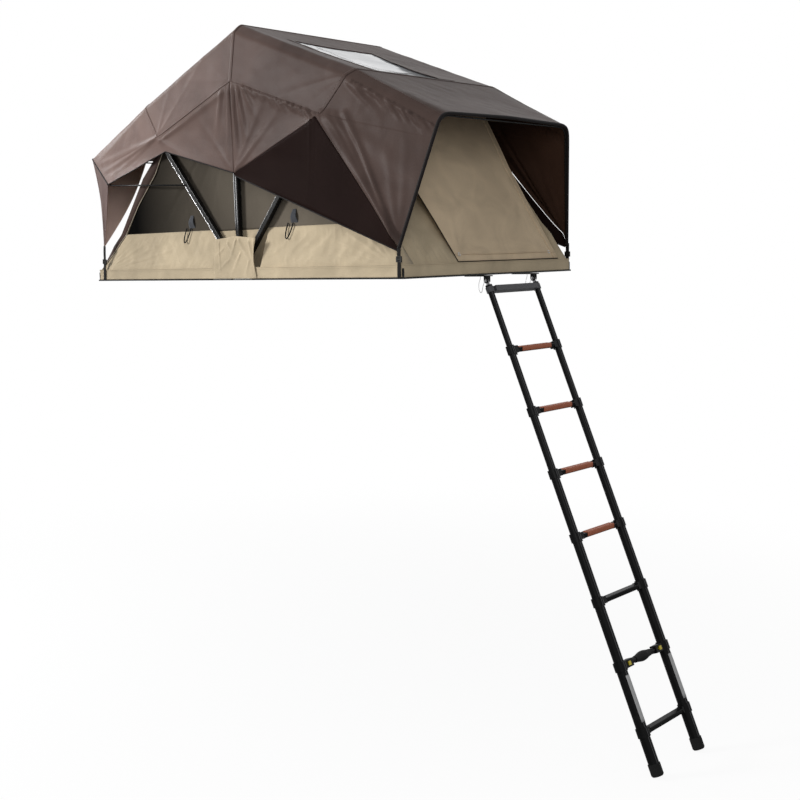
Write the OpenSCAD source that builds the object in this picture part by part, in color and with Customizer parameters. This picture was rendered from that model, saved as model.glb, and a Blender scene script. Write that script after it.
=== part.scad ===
// Folding roof top tent: hinged base on roof rails, three folding bows, tent body,
// flysheet with end awnings, and a telescopic ladder. Millimetres, +Z up, +X to the entrance.

/* [Base] */
// Length of the opened base
base_l = 2300; // [2100:10:2500]
// Width of the base
base_w = 1250; // [1150:10:1400]
// Height of the edge frame
frame_h = 46; // [40:1:54]
// Wall of the edge frame
frame_wall = 3; // [2:0.5:4]
// Width of the edge frame's flanges
frame_flange = 34; // [28:1:44]
// Width of the lip that holds the skirt
lip_w = 4; // [3:0.5:6]
// Height of the lip that holds the skirt
lip_h = 7; // [5:0.5:9]
// Gap between the two halves of the base
half_gap = 3; // [2:0.5:6]

/* [Roof rails] */
// Width of a mounting rail
rail_w = 60; // [50:1:80]
// Height that the rails stand proud under the base
rail_proud = 8; // [6:0.5:12]
// Distance between the rail bolts along the rails
bolt_span_x = 700; // [500:10:900]
// Distance between the rails
bolt_span_y = 660; // [500:10:900]
// Diameter of the rail bolt holes
bolt_hole_d = 9; // [8.5:0.1:10]

/* [Fold] */
// Height of the fold axis above the base
fold_z = 165; // [160:1:180]
// Thickness of a hinge plate
plate_t = 5; // [4:0.5:6]
// Gap between layers of the hinge
layer_gap = 1; // [0.6:0.1:1.4]
// Distance of the outer bow pivots from the fold axis
pivot_off = 78; // [70:1:86]
// Height of the outer bow pivots above the base
pivot_z = 125; // [122:1:130]
// Diameter of the fold bolts
fold_bolt_d = 12; // [10:0.5:14]
// Diameter of the outer bow bolts
bow_bolt_d = 8; // [6:0.5:10]
// Running clearance of pins and bolts
run_gap = 0.05; // [0.02:0.01:0.09]

/* [Bows] */
// Side of the square bow tube
tube_s = 25; // [22:0.5:27]
// Wall of the bow tube
tube_wall = 2; // [1.5:0.25:3]
// Height of a bow from its pivot to the middle of its top bar
bow_r = 1050; // [980:5:1055]
// Height of a bow's shoulder bend above its pivot
shoulder_r = 815; // [760:5:840]
// Inward step of a bow from leg to top bar
shoulder_in = 40; // [30:1:70]
// Lean of the outer bows from upright
bow_lean = 41; // [38:1:44]
// Inset of the bow legs from the hinge plates
leg_inset = 36; // [24:1:44]
// Bend radius of the bow tube's middle line
bend_r = 60; // [45:1:70]

/* [Soft goods] */
// Thickness of the mattress
mattress_h = 50; // [40:1:52]
// Crown of the mattress
crown_h = 6; // [3:0.5:8]
// Thickness of the cloth
cloth_t = 1.5; // [1:0.1:2]
// Clearance of cloth from its neighbours
cloth_gap = 0.3; // [0.3:0.05:0.6]
// Height of the skirt's seam above the base
skirt_h = 58; // [56:1:70]
// Height of the window's lower edge
sill_z = 250; // [235:1:280]
// Height of the fly's hem at the middle bow
hem_z = 520; // [460:5:560]
// Dip of the roof between the bows
roof_dip = 22; // [10:1:30]
// Reach of the front awning past the base's end
front_awning_out = 100; // [70:5:140]
// Height of the front awning's top edge
front_awning_z = 700; // [670:1:730]
// Half width of the front awning's top edge
front_awning_half_w = 468; // [430:1:490]
// Reach of the rear awning past the base's end
rear_awning_out = 220; // [180:5:250]
// Height of the rear awning's edge
rear_awning_z = 689; // [660:1:720]
// Half width of the rear awning's edge
rear_awning_half_w = 490; // [450:1:510]

/* [Ladder] */
// Middle of the ladder across the base
ladder_y = 72; // [-150:1:150]
// Distance between the ladder's stiles
stile_span = 357; // [320:1:400]
// Diameter of the highest stile tubes
stile_d = 28; // [26:0.2:32]
// Growth of the tube diameter from one section to the next
stile_step = 3.4; // [3:0.1:4]
// Wall of the stile tubes
stile_wall = 1.4; // [1.2:0.1:1.6]
// Distance between rungs
rung_pitch = 295; // [285:1:310]
// Distance between the two lowest rungs
low_pitch = 290; // [285:1:310]
// Length below the lowest rung
foot_drop = 190; // [160:1:220]
// Lean of the ladder from upright
ladder_lean = 22.75; // [18:0.25:28]
// Overlap of two sections when drawn out
section_lap = 50; // [40:1:60]
// Height of a rung's collar
collar_h = 40; // [34:1:44]
// Thickness of a collar
collar_t = 4.5; // [3.5:0.5:6]
// Length of the dark rung ends
rung_end = 46; // [40:1:56]
// Width of a rung across the climbing direction
rung_w = 30; // [26:1:34]
// Height of a rung
rung_h = 22; // [18:1:24]
// Diameter of the latch buttons
button_d = 9; // [7:0.5:11]
// Length of a latch button that shows
button_out = 8; // [7:0.5:9]
// Diameter of the bracket pins
pin_d = 8; // [6:0.5:10]
// Thickness of a link arm
link_t = 6; // [5:0.5:8]
// Thickness of a bracket's ears
ear_t = 5; // [4:0.5:6]

/* [Hidden] */
$fn = 48;

// Colours as seen on the object
fly_brown = [0.35, 0.31, 0.30];
tent_beige = [0.78, 0.71, 0.57];
mesh_olive = [0.29, 0.27, 0.24];
black_metal = [0.11, 0.10, 0.10];
bare_metal = [0.70, 0.70, 0.70];
foam_grey = [0.62, 0.62, 0.60];
tread_red = [0.65, 0.38, 0.29];
tab_yellow = [0.85, 0.75, 0.10];

// Layers across the near side, from the frame inwards
half_l = base_l / 2;
half_w = base_w / 2;
frame_out = half_w - lip_w;
front_plate_out = frame_out - layer_gap;
front_plate_in = front_plate_out - plate_t;
rear_plate_out = front_plate_in - layer_gap;
rear_plate_in = rear_plate_out - plate_t;
leg_out = rear_plate_in - layer_gap - leg_inset;
leg_y = leg_out - tube_s / 2;
leg_in = leg_out - tube_s;
wall_y = leg_in - 6;
board_t = frame_h - 2 * frame_wall;
hinge_block_l = 170;
mattress_y = leg_in - 11;
mattress_z = frame_h + cloth_gap;
skirt_y = frame_out + cloth_gap;
skirt_z = lip_h + cloth_gap;
top_y = leg_y - shoulder_in;
bow_top = bow_r + tube_s / 2;

// Sizes of the ladder
step_at = 45;
rung_at = [for (k = [1:7]) step_at + min(k, 5) * rung_pitch + max(k - 5, 0) * low_pitch];
foot_at = rung_at[6] + foot_drop;
pivot_x = half_l + 42;
pivot_drop = 24;
boss_l = 20;

function lerp(a, b, t) = a + (b - a) * t;
function spread(a, b, n) = [for (k = [0:n - 1]) lerp(a, b, k / n)];
// A list of points or rows with n steps between each two neighbours
function fine(list, n) = [
  for (i = [0:len(list) - 2]) each spread(list[i], list[i + 1], n),
  list[len(list) - 1]
];
function mirror_y(p) = [p[0], -p[1], p[2]];
function mirror_x(p) = [-p[0], p[1], p[2]];
// A half row of points, from the near edge to the middle, made whole by its mirror image
function whole(row) = concat(row, [for (k = [len(row) - 2:-1:0]) mirror_y(row[k])]);
// A point in the plane of the rear bow, at a radius from its pivot
function rear_bow_point(r, y) = [
  -pivot_off - r * sin(bow_lean), y, pivot_z + r * cos(bow_lean)
];

// Everything but the rails is drawn about the fold line at the base's underside
module place() {
  translate([base_l / 4, 0, rail_proud]) children();
}

module both_sides() {
  children();
  mirror([0, 1, 0]) children();
}

// A sheet of cloth from a grid of points, open over a block of cells [row, row end, column, column end]
function grid_normal(g, i, j) = let (
  n = len(g) - 1,
  m = len(g[0]) - 1,
  along = g[min(i + 1, n)][j] - g[max(i - 1, 0)][j],
  over = g[i][min(j + 1, m)] - g[i][max(j - 1, 0)],
  c = cross(along, over)
) c / norm(c);

module cloth(g, t = cloth_t, hole = [0, 0, 0, 0]) {
  n = len(g);
  m = len(g[0]);
  points = [
    for (s = [1, -1]) for (i = [0:n - 1]) for (j = [0:m - 1])
      g[i][j] + grid_normal(g, i, j) * s * t / 2
  ];
  top = function(i, j) i * m + j;
  low = function(i, j) n * m + i * m + j;
  kept = function(i, j) !(i >= hole[0] && i < hole[1] && j >= hole[2] && j < hole[3]);
  wall = function(a, b) [top(a[0], a[1]), top(b[0], b[1]), low(b[0], b[1]), low(a[0], a[1])];
  cells = [for (i = [0:n - 2]) for (j = [0:m - 2]) if (kept(i, j)) [i, j]];
  quads = concat(
    [for (c = cells) let (i = c[0], j = c[1]) [top(i, j), top(i, j + 1), top(i + 1, j + 1), top(i + 1, j)]],
    [for (c = cells) let (i = c[0], j = c[1]) [low(i, j), low(i + 1, j), low(i + 1, j + 1), low(i, j + 1)]],
    [for (i = [0:n - 2]) wall([i, 0], [i + 1, 0])],
    [for (i = [0:n - 2]) wall([i + 1, m - 1], [i, m - 1])],
    [for (j = [0:m - 2]) wall([0, j + 1], [0, j])],
    [for (j = [0:m - 2]) wall([n - 1, j], [n - 1, j + 1])],
    [for (i = [hole[0]:1:hole[1] - 1]) wall([i + 1, hole[2]], [i, hole[2]])],
    [for (i = [hole[0]:1:hole[1] - 1]) wall([i, hole[3]], [i + 1, hole[3]])],
    [for (j = [hole[2]:1:hole[3] - 1]) wall([hole[0], j], [hole[0], j + 1])],
    [for (j = [hole[2]:1:hole[3] - 1]) wall([hole[1], j + 1], [hole[1], j])]
  );
  polyhedron(points, [for (q = quads) each [[q[0], q[1], q[2]], [q[0], q[2], q[3]]]], convexity = 8);
}

// A thin round cord swept along its points; no run lies along the side vector
module cord(path, d, sides = 8, aside = [0, 1, 0]) {
  n = len(path);
  rings = [
    for (i = [0:n - 1]) let (
      run = path[min(i + 1, n - 1)] - path[max(i - 1, 0)],
      w = run / norm(run),
      u0 = cross(w, aside),
      u = u0 / norm(u0),
      v = cross(w, u)
    ) [for (k = [0:sides - 1]) path[i] + (u * cos(k * 360 / sides) + v * sin(k * 360 / sides)) * d / 2]
  ];
  points = [for (r = rings) each r];
  sides_faces = [
    for (i = [0:n - 2]) for (k = [0:sides - 1]) let (
      a = i * sides + k,
      b = i * sides + (k + 1) % sides
    ) each [[a, a + sides, b + sides], [a, b + sides, b]]
  ];
  polyhedron(points, concat(
    sides_faces,
    [[for (k = [0:sides - 1]) k]],
    [[for (k = [sides - 1:-1:0]) (n - 1) * sides + k]]
  ));
}

// A round spring rod through its points, bent in a short curve at each of them
rod_bend = 25;
function unit(v) = v / norm(v);
function bent(path) = [
  path[0],
  for (i = [1:len(path) - 2]) let (
    p = path[i],
    a = p + rod_bend * unit(path[i - 1] - p),
    b = p + rod_bend * unit(path[i + 1] - p)
  ) each [for (t = [0:0.25:1]) lerp(lerp(a, p, t), lerp(p, b, t), t)],
  path[len(path) - 1]
];

module rod(path, d) {
  cord(bent(path), d, 12, [0, 0, 1]);
}

// A square with rounded corners
module soft_square(s, r) {
  square([s - 2 * r, s], center = true);
  square([s, s - 2 * r], center = true);
  for (x = [-1, 1], y = [-1, 1]) translate([x, y] * (s / 2 - r)) circle(r, $fn = 24);
}

module tube_profile() {
  difference() {
    soft_square(tube_s, 3);
    soft_square(tube_s - 2 * tube_wall, 1.5);
  }
}

// Hinged base

// One half of the edge frame, lying towards -X from the fold line
module edge_frame() {
  difference() {
    union() {
      translate([-half_l + lip_w, -frame_out, 0])
        cube([half_l - lip_w - half_gap / 2, 2 * frame_out, frame_h]);
      translate([-half_l, -half_w, 0])
        cube([half_l - half_gap / 2, base_w, lip_h]);
    }
    translate([-half_l + lip_w + frame_flange, -frame_out + frame_flange, -1])
      cube([half_l - lip_w - half_gap / 2 - 2 * frame_flange, 2 * (frame_out - frame_flange), frame_h + 2]);
    // Groove for the board, closed beside the hinge by solid blocks
    difference() {
      translate([-half_l + lip_w + frame_wall, -frame_out + frame_wall, frame_wall])
        cube([half_l - lip_w - half_gap / 2 - 2 * frame_wall, 2 * (frame_out - frame_wall), board_t]);
      both_sides()
        translate([-hinge_block_l, frame_out - frame_flange, 0])
          cube([hinge_block_l, frame_flange, frame_h]);
    }
    // Pockets for the hinge plates
    both_sides()
      translate([-hinge_block_l, rear_plate_in, -1])
        cube([hinge_block_l + 1, half_w, frame_h + 2]);
  }
}

module board() {
  difference() {
    translate([-half_l + lip_w + frame_wall, -frame_out + frame_wall, frame_wall])
      cube([half_l - lip_w - half_gap / 2 - 2 * frame_wall, 2 * (frame_out - frame_wall), board_t]);
    both_sides()
      translate([-hinge_block_l, frame_out - frame_flange, 0])
        cube([hinge_block_l + 1, half_w, frame_h]);
    children();
  }
}

module bolt_places() {
  for (x = [-1, 1], y = [-1, 1])
    translate([-base_l / 4 + x * bolt_span_x / 2, y * bolt_span_y / 2, 0]) children();
}

module mounting_rails() {
  rail_l = half_l - 2 * frame_flange - 24;
  color(bare_metal) place() difference() {
    for (y = [-1, 1])
      translate([-base_l / 4 - rail_l / 2, y * bolt_span_y / 2 - rail_w / 2, -rail_proud])
        cube([rail_l, rail_w, rail_proud + frame_wall]);
    // Shallow grooves along the underside, beside the bolt line
    for (y = [-1, 1], s = [-1, 1])
      translate([-base_l / 4 - rail_l / 2 - 1, y * bolt_span_y / 2 + s * 20 - 3, -rail_proud - 1])
        cube([rail_l + 2, 6, 4]);
    bolt_places() translate([0, 0, -rail_proud - 1])
      cylinder(h = rail_proud + frame_wall + 2, d = bolt_hole_d);
  }
}

module rear_board() {
  // Pockets for the heads of the rail bolts
  color(foam_grey) place() board()
    bolt_places() translate([0, 0, frame_wall - 1]) cylinder(h = 9, d = 18);
}

module front_board() {
  color(foam_grey) place() mirror([1, 0, 0]) board();
}

module rear_edge_frame() {
  color(black_metal) place() edge_frame();
}

module front_edge_frame() {
  color(black_metal) place() mirror([1, 0, 0]) edge_frame();
}

// Side plate with the fold eye and the outer bow's eye, lying towards -X
module plate_outline() {
  foot = 150;
  polygon([
    [-foot, 4], [-14, 4], [-14, 60], [18, fold_z - 8], [6, fold_z + 19],
    [-pivot_off - 14, pivot_z + 17], [-foot, frame_h]
  ]);
  translate([0, fold_z]) circle(20);
  translate([-pivot_off, pivot_z]) circle(22);
}

module plate_solid(fold_hole, bow_hole) {
  difference() {
    rotate([90, 0, 0]) linear_extrude(plate_t) plate_outline();
    translate([0, 1, fold_z]) rotate([90, 0, 0]) cylinder(h = plate_t + 2, d = fold_hole);
    translate([-pivot_off, 1, pivot_z]) rotate([90, 0, 0]) cylinder(h = plate_t + 2, d = bow_hole);
    // Window that lightens the plate
    translate([-74, 1, 74]) rotate([90, 0, 0]) cylinder(h = plate_t + 2, d = 34);
  }
}

module rear_hinge_plates() {
  color(bare_metal) place() both_sides()
    translate([0, rear_plate_out, 0]) plate_solid(fold_bolt_d, bow_bolt_d);
}

module front_hinge_plates() {
  color(bare_metal) place() both_sides() {
    translate([0, front_plate_out, 0]) mirror([1, 0, 0]) plate_solid(fold_bolt_d + 2 * run_gap, bow_bolt_d);
    // Spacer between the plate and its frame
    translate([30, rear_plate_in, 6]) cube([110, front_plate_in - rear_plate_in, frame_h - 12]);
  }
}

washer_gap = 0.2;
// Spacer tube on a bolt, from a plate's inner face to the bow leg
module leg_spacer(at, bolt_d) {
  translate(at) rotate([90, 0, 0]) cylinder(h = at[1] - leg_out - washer_gap, d = bolt_d + 8);
}

module fold_bolts() {
  color(bare_metal) place() both_sides() {
    // Fold bolt through both plates and the middle bow
    translate([0, front_plate_out + washer_gap + 3, fold_z]) rotate([90, 0, 0]) {
      cylinder(h = 3, d = fold_bolt_d + 10);
      cylinder(h = front_plate_out + washer_gap + 3 - leg_in + 6, d = fold_bolt_d);
    }
    leg_spacer([0, rear_plate_in, fold_z], fold_bolt_d);
    translate([0, leg_in - washer_gap, fold_z]) rotate([90, 0, 0]) cylinder(h = 5, d = fold_bolt_d + 6);
    // Rear bow's bolt
    translate([-pivot_off, rear_plate_out + 4, pivot_z]) rotate([90, 0, 0]) {
      cylinder(h = 4, d = bow_bolt_d + 8);
      cylinder(h = rear_plate_out + 4 - leg_in + 6, d = bow_bolt_d);
    }
    leg_spacer([-pivot_off, rear_plate_in, pivot_z], bow_bolt_d);
    translate([-pivot_off, leg_in - washer_gap, pivot_z]) rotate([90, 0, 0])
      cylinder(h = 5, d = bow_bolt_d + 6);
  }
}

module front_bow_bolts() {
  color(bare_metal) place() both_sides() {
    translate([pivot_off, front_plate_out + 3, pivot_z]) rotate([90, 0, 0]) {
      cylinder(h = 3, d = bow_bolt_d + 8);
      cylinder(h = front_plate_out + 3 - leg_in + 6, d = bow_bolt_d);
    }
    leg_spacer([pivot_off, front_plate_in, pivot_z], bow_bolt_d);
    translate([pivot_off, leg_in - washer_gap, pivot_z]) rotate([90, 0, 0])
      cylinder(h = 5, d = bow_bolt_d + 6);
  }
}

// A mattress half: crowned on top, drawn in between its corners
module mattress() {
  nu = 14;
  nv = 12;
  x0 = -half_l + 40;
  x1 = -8;
  draw_in = 14;
  row = function(k) let (
    u = k / nu,
    pull = draw_in * sin(180 * u)
  ) [for (j = [0:nv]) let (v = j / nv, pinch = draw_in * sin(180 * v) * (1 - 2 * u))
    [lerp(x0, x1, u) + pinch * pow(abs(1 - 2 * u), 2), lerp(-1, 1, v) * (mattress_y - pull), 0]];
  lift = function(i, j) let (
    edge = min(i, nu - i, j, nv - j),
    crown = crown_h * pow(sin(180 * i / nu) * sin(180 * j / nv), 0.6)
  ) edge == 0 ? 0.72 * mattress_h : mattress_h - crown_h + crown;
  top = [for (i = [0:nu]) let (r = row(i)) [for (j = [0:nv]) r[j] + [0, 0, mattress_z + lift(i, j)]]];
  low = [for (i = [0:nu]) let (r = row(i)) [for (j = [0:nv]) [
    lerp(r[j][0], (x0 + x1) / 2, 0.012), r[j][1] * 0.985, mattress_z
  ]]];
  m = nv + 1;
  n = nu + 1;
  points = concat([for (r = top) each r], [for (r = low) each r]);
  at = function(i, j) i * m + j;
  under = function(i, j) n * m + i * m + j;
  quads = concat(
    [for (i = [0:nu - 1]) for (j = [0:nv - 1]) [at(i, j), at(i, j + 1), at(i + 1, j + 1), at(i + 1, j)]],
    [for (i = [0:nu - 1]) for (j = [0:nv - 1])
      [under(i, j), under(i + 1, j), under(i + 1, j + 1), under(i, j + 1)]],
    [for (i = [0:nu - 1]) [at(i, 0), at(i + 1, 0), under(i + 1, 0), under(i, 0)]],
    [for (i = [0:nu - 1]) [at(i + 1, nv), at(i, nv), under(i, nv), under(i + 1, nv)]],
    [for (j = [0:nv - 1]) [at(0, j + 1), at(0, j), under(0, j), under(0, j + 1)]],
    [for (j = [0:nv - 1]) [at(nu, j), at(nu, j + 1), under(nu, j + 1), under(nu, j)]]
  );
  polyhedron(points, [for (q = quads) each [[q[0], q[1], q[2]], [q[0], q[2], q[3]]]], convexity = 4);
}

module rear_mattress() {
  color(foam_grey) place() mattress();
}

module front_mattress() {
  color(foam_grey) place() mirror([1, 0, 0]) mattress();
}

// Bows

// One bow drawn upright in the YZ plane about its pivot, near and far sides alike
shoulder_turn = atan2(shoulder_in, bow_r - shoulder_r);
corner_turn = 90 - shoulder_turn;
shoulder_cut = bend_r * tan(shoulder_turn / 2);
corner_cut = bend_r * tan(corner_turn / 2);
sleeve_l = 30;
spigot_l = 40;
spigot_s = tube_s - 2 * tube_wall - 0.4;
leg_end = shoulder_r - shoulder_cut - sleeve_l;
slant_l = norm([shoulder_in, bow_r - shoulder_r]);

// Elbows are solid, with plugs driven into the tubes that they join
plug_l = 12;
plug_s = tube_s - 2 * tube_wall + 0.4;
joint_line = 0.3;

// Starts at the origin going up, turns towards the middle
module bow_bend(turn) {
  translate([0, -bend_r, 0]) rotate([90, 0, 90]) {
    rotate_extrude(angle = turn) translate([bend_r, 0]) soft_square(tube_s, 3);
    translate([bend_r, 0, 0]) rotate([90, 0, 0]) elbow_plug();
    rotate(turn) translate([bend_r, 0, 0]) rotate([-90, 0, 0]) elbow_plug();
  }
}

module elbow_plug() {
  translate([0, 0, -2]) linear_extrude(plug_l + 2) soft_square(plug_s, 1.5);
}

module bow_leg(eye_d) {
  difference() {
    union() {
      translate([0, leg_y, 0]) linear_extrude(leg_end) tube_profile();
      translate([0, leg_out, 0]) rotate([90, 0, 0]) cylinder(h = tube_s, d = tube_s);
    }
    translate([0, leg_out + 1, 0]) rotate([90, 0, 0]) cylinder(h = tube_s + 2, d = eye_d + 2 * run_gap);
  }
}

module bow_half_arch() {
  translate([0, leg_y, leg_end]) {
    linear_extrude(sleeve_l - joint_line) tube_profile();
    // Spigot that enters the leg, fast in the arch's own tube
    translate([0, 0, -spigot_l]) linear_extrude(spigot_l + 6) soft_square(spigot_s, 1.2);
    translate([0, 0, 1]) linear_extrude(8) soft_square(plug_s, 1.5);
    translate([0, 0, sleeve_l]) bow_bend(shoulder_turn);
  }
  translate([0, leg_y, shoulder_r]) rotate([shoulder_turn, 0, 0]) {
    translate([0, 0, shoulder_cut + joint_line])
      linear_extrude(slant_l - shoulder_cut - corner_cut - 2 * joint_line) tube_profile();
    translate([0, 0, slant_l - corner_cut]) bow_bend(corner_turn);
  }
}

module bow_arch() {
  bar_l = 2 * (top_y - corner_cut - joint_line);
  both_sides() bow_half_arch();
  translate([0, -bar_l / 2, bow_r]) rotate([-90, 0, 0]) linear_extrude(bar_l) tube_profile();
}

module rear_bow_frame() {
  place() translate([-pivot_off, 0, pivot_z]) rotate([0, -bow_lean, 0]) children();
}

module middle_bow_frame() {
  place() translate([0, 0, fold_z]) children();
}

module front_bow_frame() {
  place() translate([pivot_off, 0, pivot_z]) rotate([0, bow_lean, 0]) children();
}

module rear_bow_legs() {
  color(black_metal) rear_bow_frame() both_sides() bow_leg(bow_bolt_d);
}

module rear_bow_arch() {
  color(black_metal) rear_bow_frame() bow_arch();
}

module middle_bow_legs() {
  color(black_metal) middle_bow_frame() both_sides() bow_leg(fold_bolt_d);
}

module middle_bow_arch() {
  color(black_metal) middle_bow_frame() bow_arch();
}

module front_bow_legs() {
  color(black_metal) front_bow_frame() both_sides() bow_leg(bow_bolt_d);
}

module front_bow_arch() {
  color(black_metal) front_bow_frame() bow_arch();
}

// Tent body

// The skirt hangs round three sides of one half
module skirt() {
  difference() {
    translate([-half_l + lip_w - cloth_gap - cloth_t, -skirt_y - cloth_t, skirt_z])
      cube([half_l - lip_w + cloth_gap + cloth_t - half_gap / 2, 2 * (skirt_y + cloth_t), skirt_h - skirt_z]);
    translate([-half_l + lip_w - cloth_gap, -skirt_y, skirt_z - 1])
      cube([half_l, 2 * skirt_y, skirt_h]);
  }
}

module rear_skirt() {
  color(tent_beige) place() skirt();
}

module front_skirt() {
  color(tent_beige) place() mirror([1, 0, 0]) skirt();
}

// Inner faces of the bows, where the tent body hangs
in_corner_y = top_y - 36;
in_corner_r = bow_r - tube_s / 2 - 12;
in_shoulder_r = shoulder_r - 10;
wall_foot = frame_h + 0.7;
rear_foot_x = -half_l + 10;
function rear_edge_x(z) = lerp(
  rear_foot_x, rear_bow_point(in_shoulder_r, 0)[0],
  (z - wall_foot) / (rear_bow_point(in_shoulder_r, 0)[2] - wall_foot)
);

// End wall from the base's end up to the outer bow, with a billow
billow = 12;
end_wall_off = [-4, 0, -2];
door_lean = 63;
function end_wall_grid() = let (
  foot = whole([for (y = [-wall_y + 2, -300, 0]) [rear_foot_x, y, wall_foot]]),
  sh = rear_bow_point(in_shoulder_r, -wall_y + 2) + end_wall_off,
  mid = lerp(foot[2], rear_bow_point(in_corner_r, 0), 0.72) + end_wall_off,
  shoulder = whole([sh, [lerp(sh[0], mid[0], 0.6), -300, lerp(sh[2], mid[2], 0.6)], mid]),
  crown = whole([for (y = [-in_corner_y, -240, 0]) rear_bow_point(in_corner_r, y) + end_wall_off]),
  rows = concat(spread(foot, shoulder, 5), spread(shoulder, crown, 2), [crown]),
  last = len(rows) - 1
) [
  for (i = [0:last]) let (r = fine(rows[i], 3), end = len(r) - 1) [
    for (j = [0:end]) r[j] + billow * sin(180 * i / last) * sin(180 * j / end) * [-0.9, 0, 0.4]
  ]
];

// Lower side wall, tucked in behind the hinge, up to the window sill
function side_wall_grid() = let (
  heights = [wall_foot, lerp(wall_foot, sill_z, 0.5), sill_z],
  outer_y = [frame_out - 4, lerp(frame_out - 4, wall_y, 0.55), wall_y],
  column = function(x, tuck) [
    for (k = [0:2]) [x, -(tuck ? wall_y - 2 : outer_y[k]), heights[k]]
  ],
  end = [for (k = [0:2]) [rear_edge_x(heights[k]) + 6, -outer_y[k], heights[k]]],
  rows = fine([end, column(-700, false), column(-270, false)], 4)
) [
  for (i = [0:len(rows) - 1]) [
    for (k = [0:2]) rows[i][k] + [0, k == 1 ? 4 * sin(140 * i) : 0, 0]
  ],
  column(-215, true),
  column(-100, true),
  column(-half_gap, true)
];

// Side window of mesh above the sill, up to the bows' shoulders
mesh_low_x = 500;
mesh_high_x = 290;
function side_mesh_grid() = let (
  shoulder = rear_bow_point(in_shoulder_r, -wall_y),
  sill = sill_z + 2 * cloth_gap,
  low = [[rear_edge_x(sill) + 6, -wall_y, sill], [-mesh_low_x, -wall_y, sill], [-half_gap, -wall_y, sill]],
  high = [
    shoulder + [6, 0, -2],
    [-mesh_high_x, -wall_y, lerp(shoulder[2], fold_z + in_shoulder_r, 0.5) - 14],
    [-half_gap, -wall_y, fold_z + in_shoulder_r - 4]
  ],
  low_f = fine(low, 4),
  high_f = fine(high, 4)
) [
  for (i = [0:8]) [
    for (k = [0:5]) lerp(low_f[i], high_f[i], k / 5) + [0, 6 * sin(180 * k / 5) * sin(22.5 * i), 0]
  ]
];

// Roof of the tent body, hung inside the bows
function tent_roof_grid() = let (
  rear = whole([
    rear_bow_point(in_shoulder_r, -wall_y) + [8, 0, 3],
    rear_bow_point(in_corner_r, -in_corner_y) + [6, 0, 0],
    rear_bow_point(in_corner_r, 0) + [6, 0, 0]
  ]),
  middle = whole([
    [-half_gap, -wall_y, fold_z + in_shoulder_r],
    [-half_gap, -in_corner_y, fold_z + in_corner_r],
    [-half_gap, 0, fold_z + in_corner_r]
  ]),
  rows = fine([for (r = [rear, middle]) fine(r, 3)], 6)
) [
  for (i = [0:len(rows) - 1]) [
    for (j = [0:12]) rows[i][j] - [0, 0, (roof_dip + 8) * sin(30 * i) * pow(sin(15 * j), 0.7)]
  ]
];

module rear_tent_walls() {
  color(tent_beige) place() {
    cloth(end_wall_grid());
    both_sides() cloth(side_wall_grid());
    cloth(tent_roof_grid());
  }
}

module front_tent_walls() {
  // The doorway is open in the end wall, above its threshold
  color(tent_beige) place() mirror([1, 0, 0]) {
    cloth(end_wall_grid(), hole = [1, 5, 4, 9]);
    both_sides() cloth(side_wall_grid());
    cloth(tent_roof_grid());
  }
}

module rear_window_mesh() {
  color(mesh_olive) place() both_sides() cloth(side_mesh_grid());
}

module front_window_mesh() {
  color(mesh_olive) place() mirror([1, 0, 0]) both_sides() cloth(side_mesh_grid());
}

// Door flap hung over the doorway, clear of the wall's billow, loose along its near edge
// Half widths of the door at its foot and its head
door_near = [240, 380];
door_far = [455, 400];
function door_grid() = let (
  foot = [rear_foot_x, 0, wall_foot],
  head = rear_bow_point(in_corner_r, 0) + end_wall_off,
  out = [sin(door_lean), 0, cos(door_lean)]
) [
  for (i = [0:8]) let (u = i / 8, f = lerp(0.02, 0.96, u), swell = sin(180 * f)) [
    for (j = [0:8]) let (
      v = j / 8,
      near_y = -lerp(door_near[0], door_near[1], min(1, u * 1.6)),
      far_y = lerp(door_far[0], door_far[1], u)
    ) [0, lerp(near_y, far_y, v), 0] + mirror_x(lerp(foot, head, f))
      + out * (cloth_t + cloth_gap + swell * (billow + 3 + 4 * (1 + cos(360 * v))))
  ]
];

module door_flap() {
  color(tent_beige) place() cloth(door_grid());
}

// Patch of cloth over the hinge plates, pleated where the legs come out
patch_y = skirt_y + 1.5 * cloth_t + cloth_gap;
function patch_grid() = [
  for (i = [0:8]) let (x = lerp(-104, 196, i / 8)) [
    for (k = [0:4]) let (
      z = lerp(skirt_z, 214 - 14 * abs(i - 4) / 4, k / 4),
      pleat = 2.5 * sin(135 * i) * k / 4
    ) [x, -(patch_y + 4 * sin(45 * k) + pleat), z]
  ]
];

module hinge_cover_patches() {
  color(tent_beige) place() both_sides() cloth(patch_grid());
}

// Flysheet

// Where the fly lies on the bows: eased off the legs' sides, raised over the corners of the top bars
fly_ease = 1.2;
fly_rise = 6.8;
fly_shoulder_y = leg_out + cloth_t / 2 + cloth_gap + fly_ease;
fly_top_r = bow_top + fly_rise;
fly_shoulder_r = shoulder_r + 4;
// The fly turns each top corner in two steps about the middle of the tube's bend: [across, radius]
fly_turn_r = (bend_r + tube_s / 2 + fly_rise) / cos(corner_turn / 4);
function fly_turn(a) = [
  top_y - corner_cut + fly_turn_r * cos(a), bow_r - bend_r + fly_turn_r * sin(a)
];
fly_corner = fly_turn(shoulder_turn + corner_turn / 4);
fly_crest = fly_turn(90 - corner_turn / 4);
rear_hem_r = 700;
rod_corner = [-half_l + 67, -fly_shoulder_y, 527];
rear_anchor = [-half_l + 75, -half_w + cloth_t / 2, 182];
front_anchor = [half_l - 19, -half_w + cloth_t / 2, 133];
front_awning_x = half_l + front_awning_out;
rear_awning_x = half_l + rear_awning_out;
front_rim = [front_awning_x, -front_awning_half_w, front_awning_z];
rear_eave = [-rear_awning_x + 15, -rear_awning_half_w, rear_awning_z];
gusset_out = 18;

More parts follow.
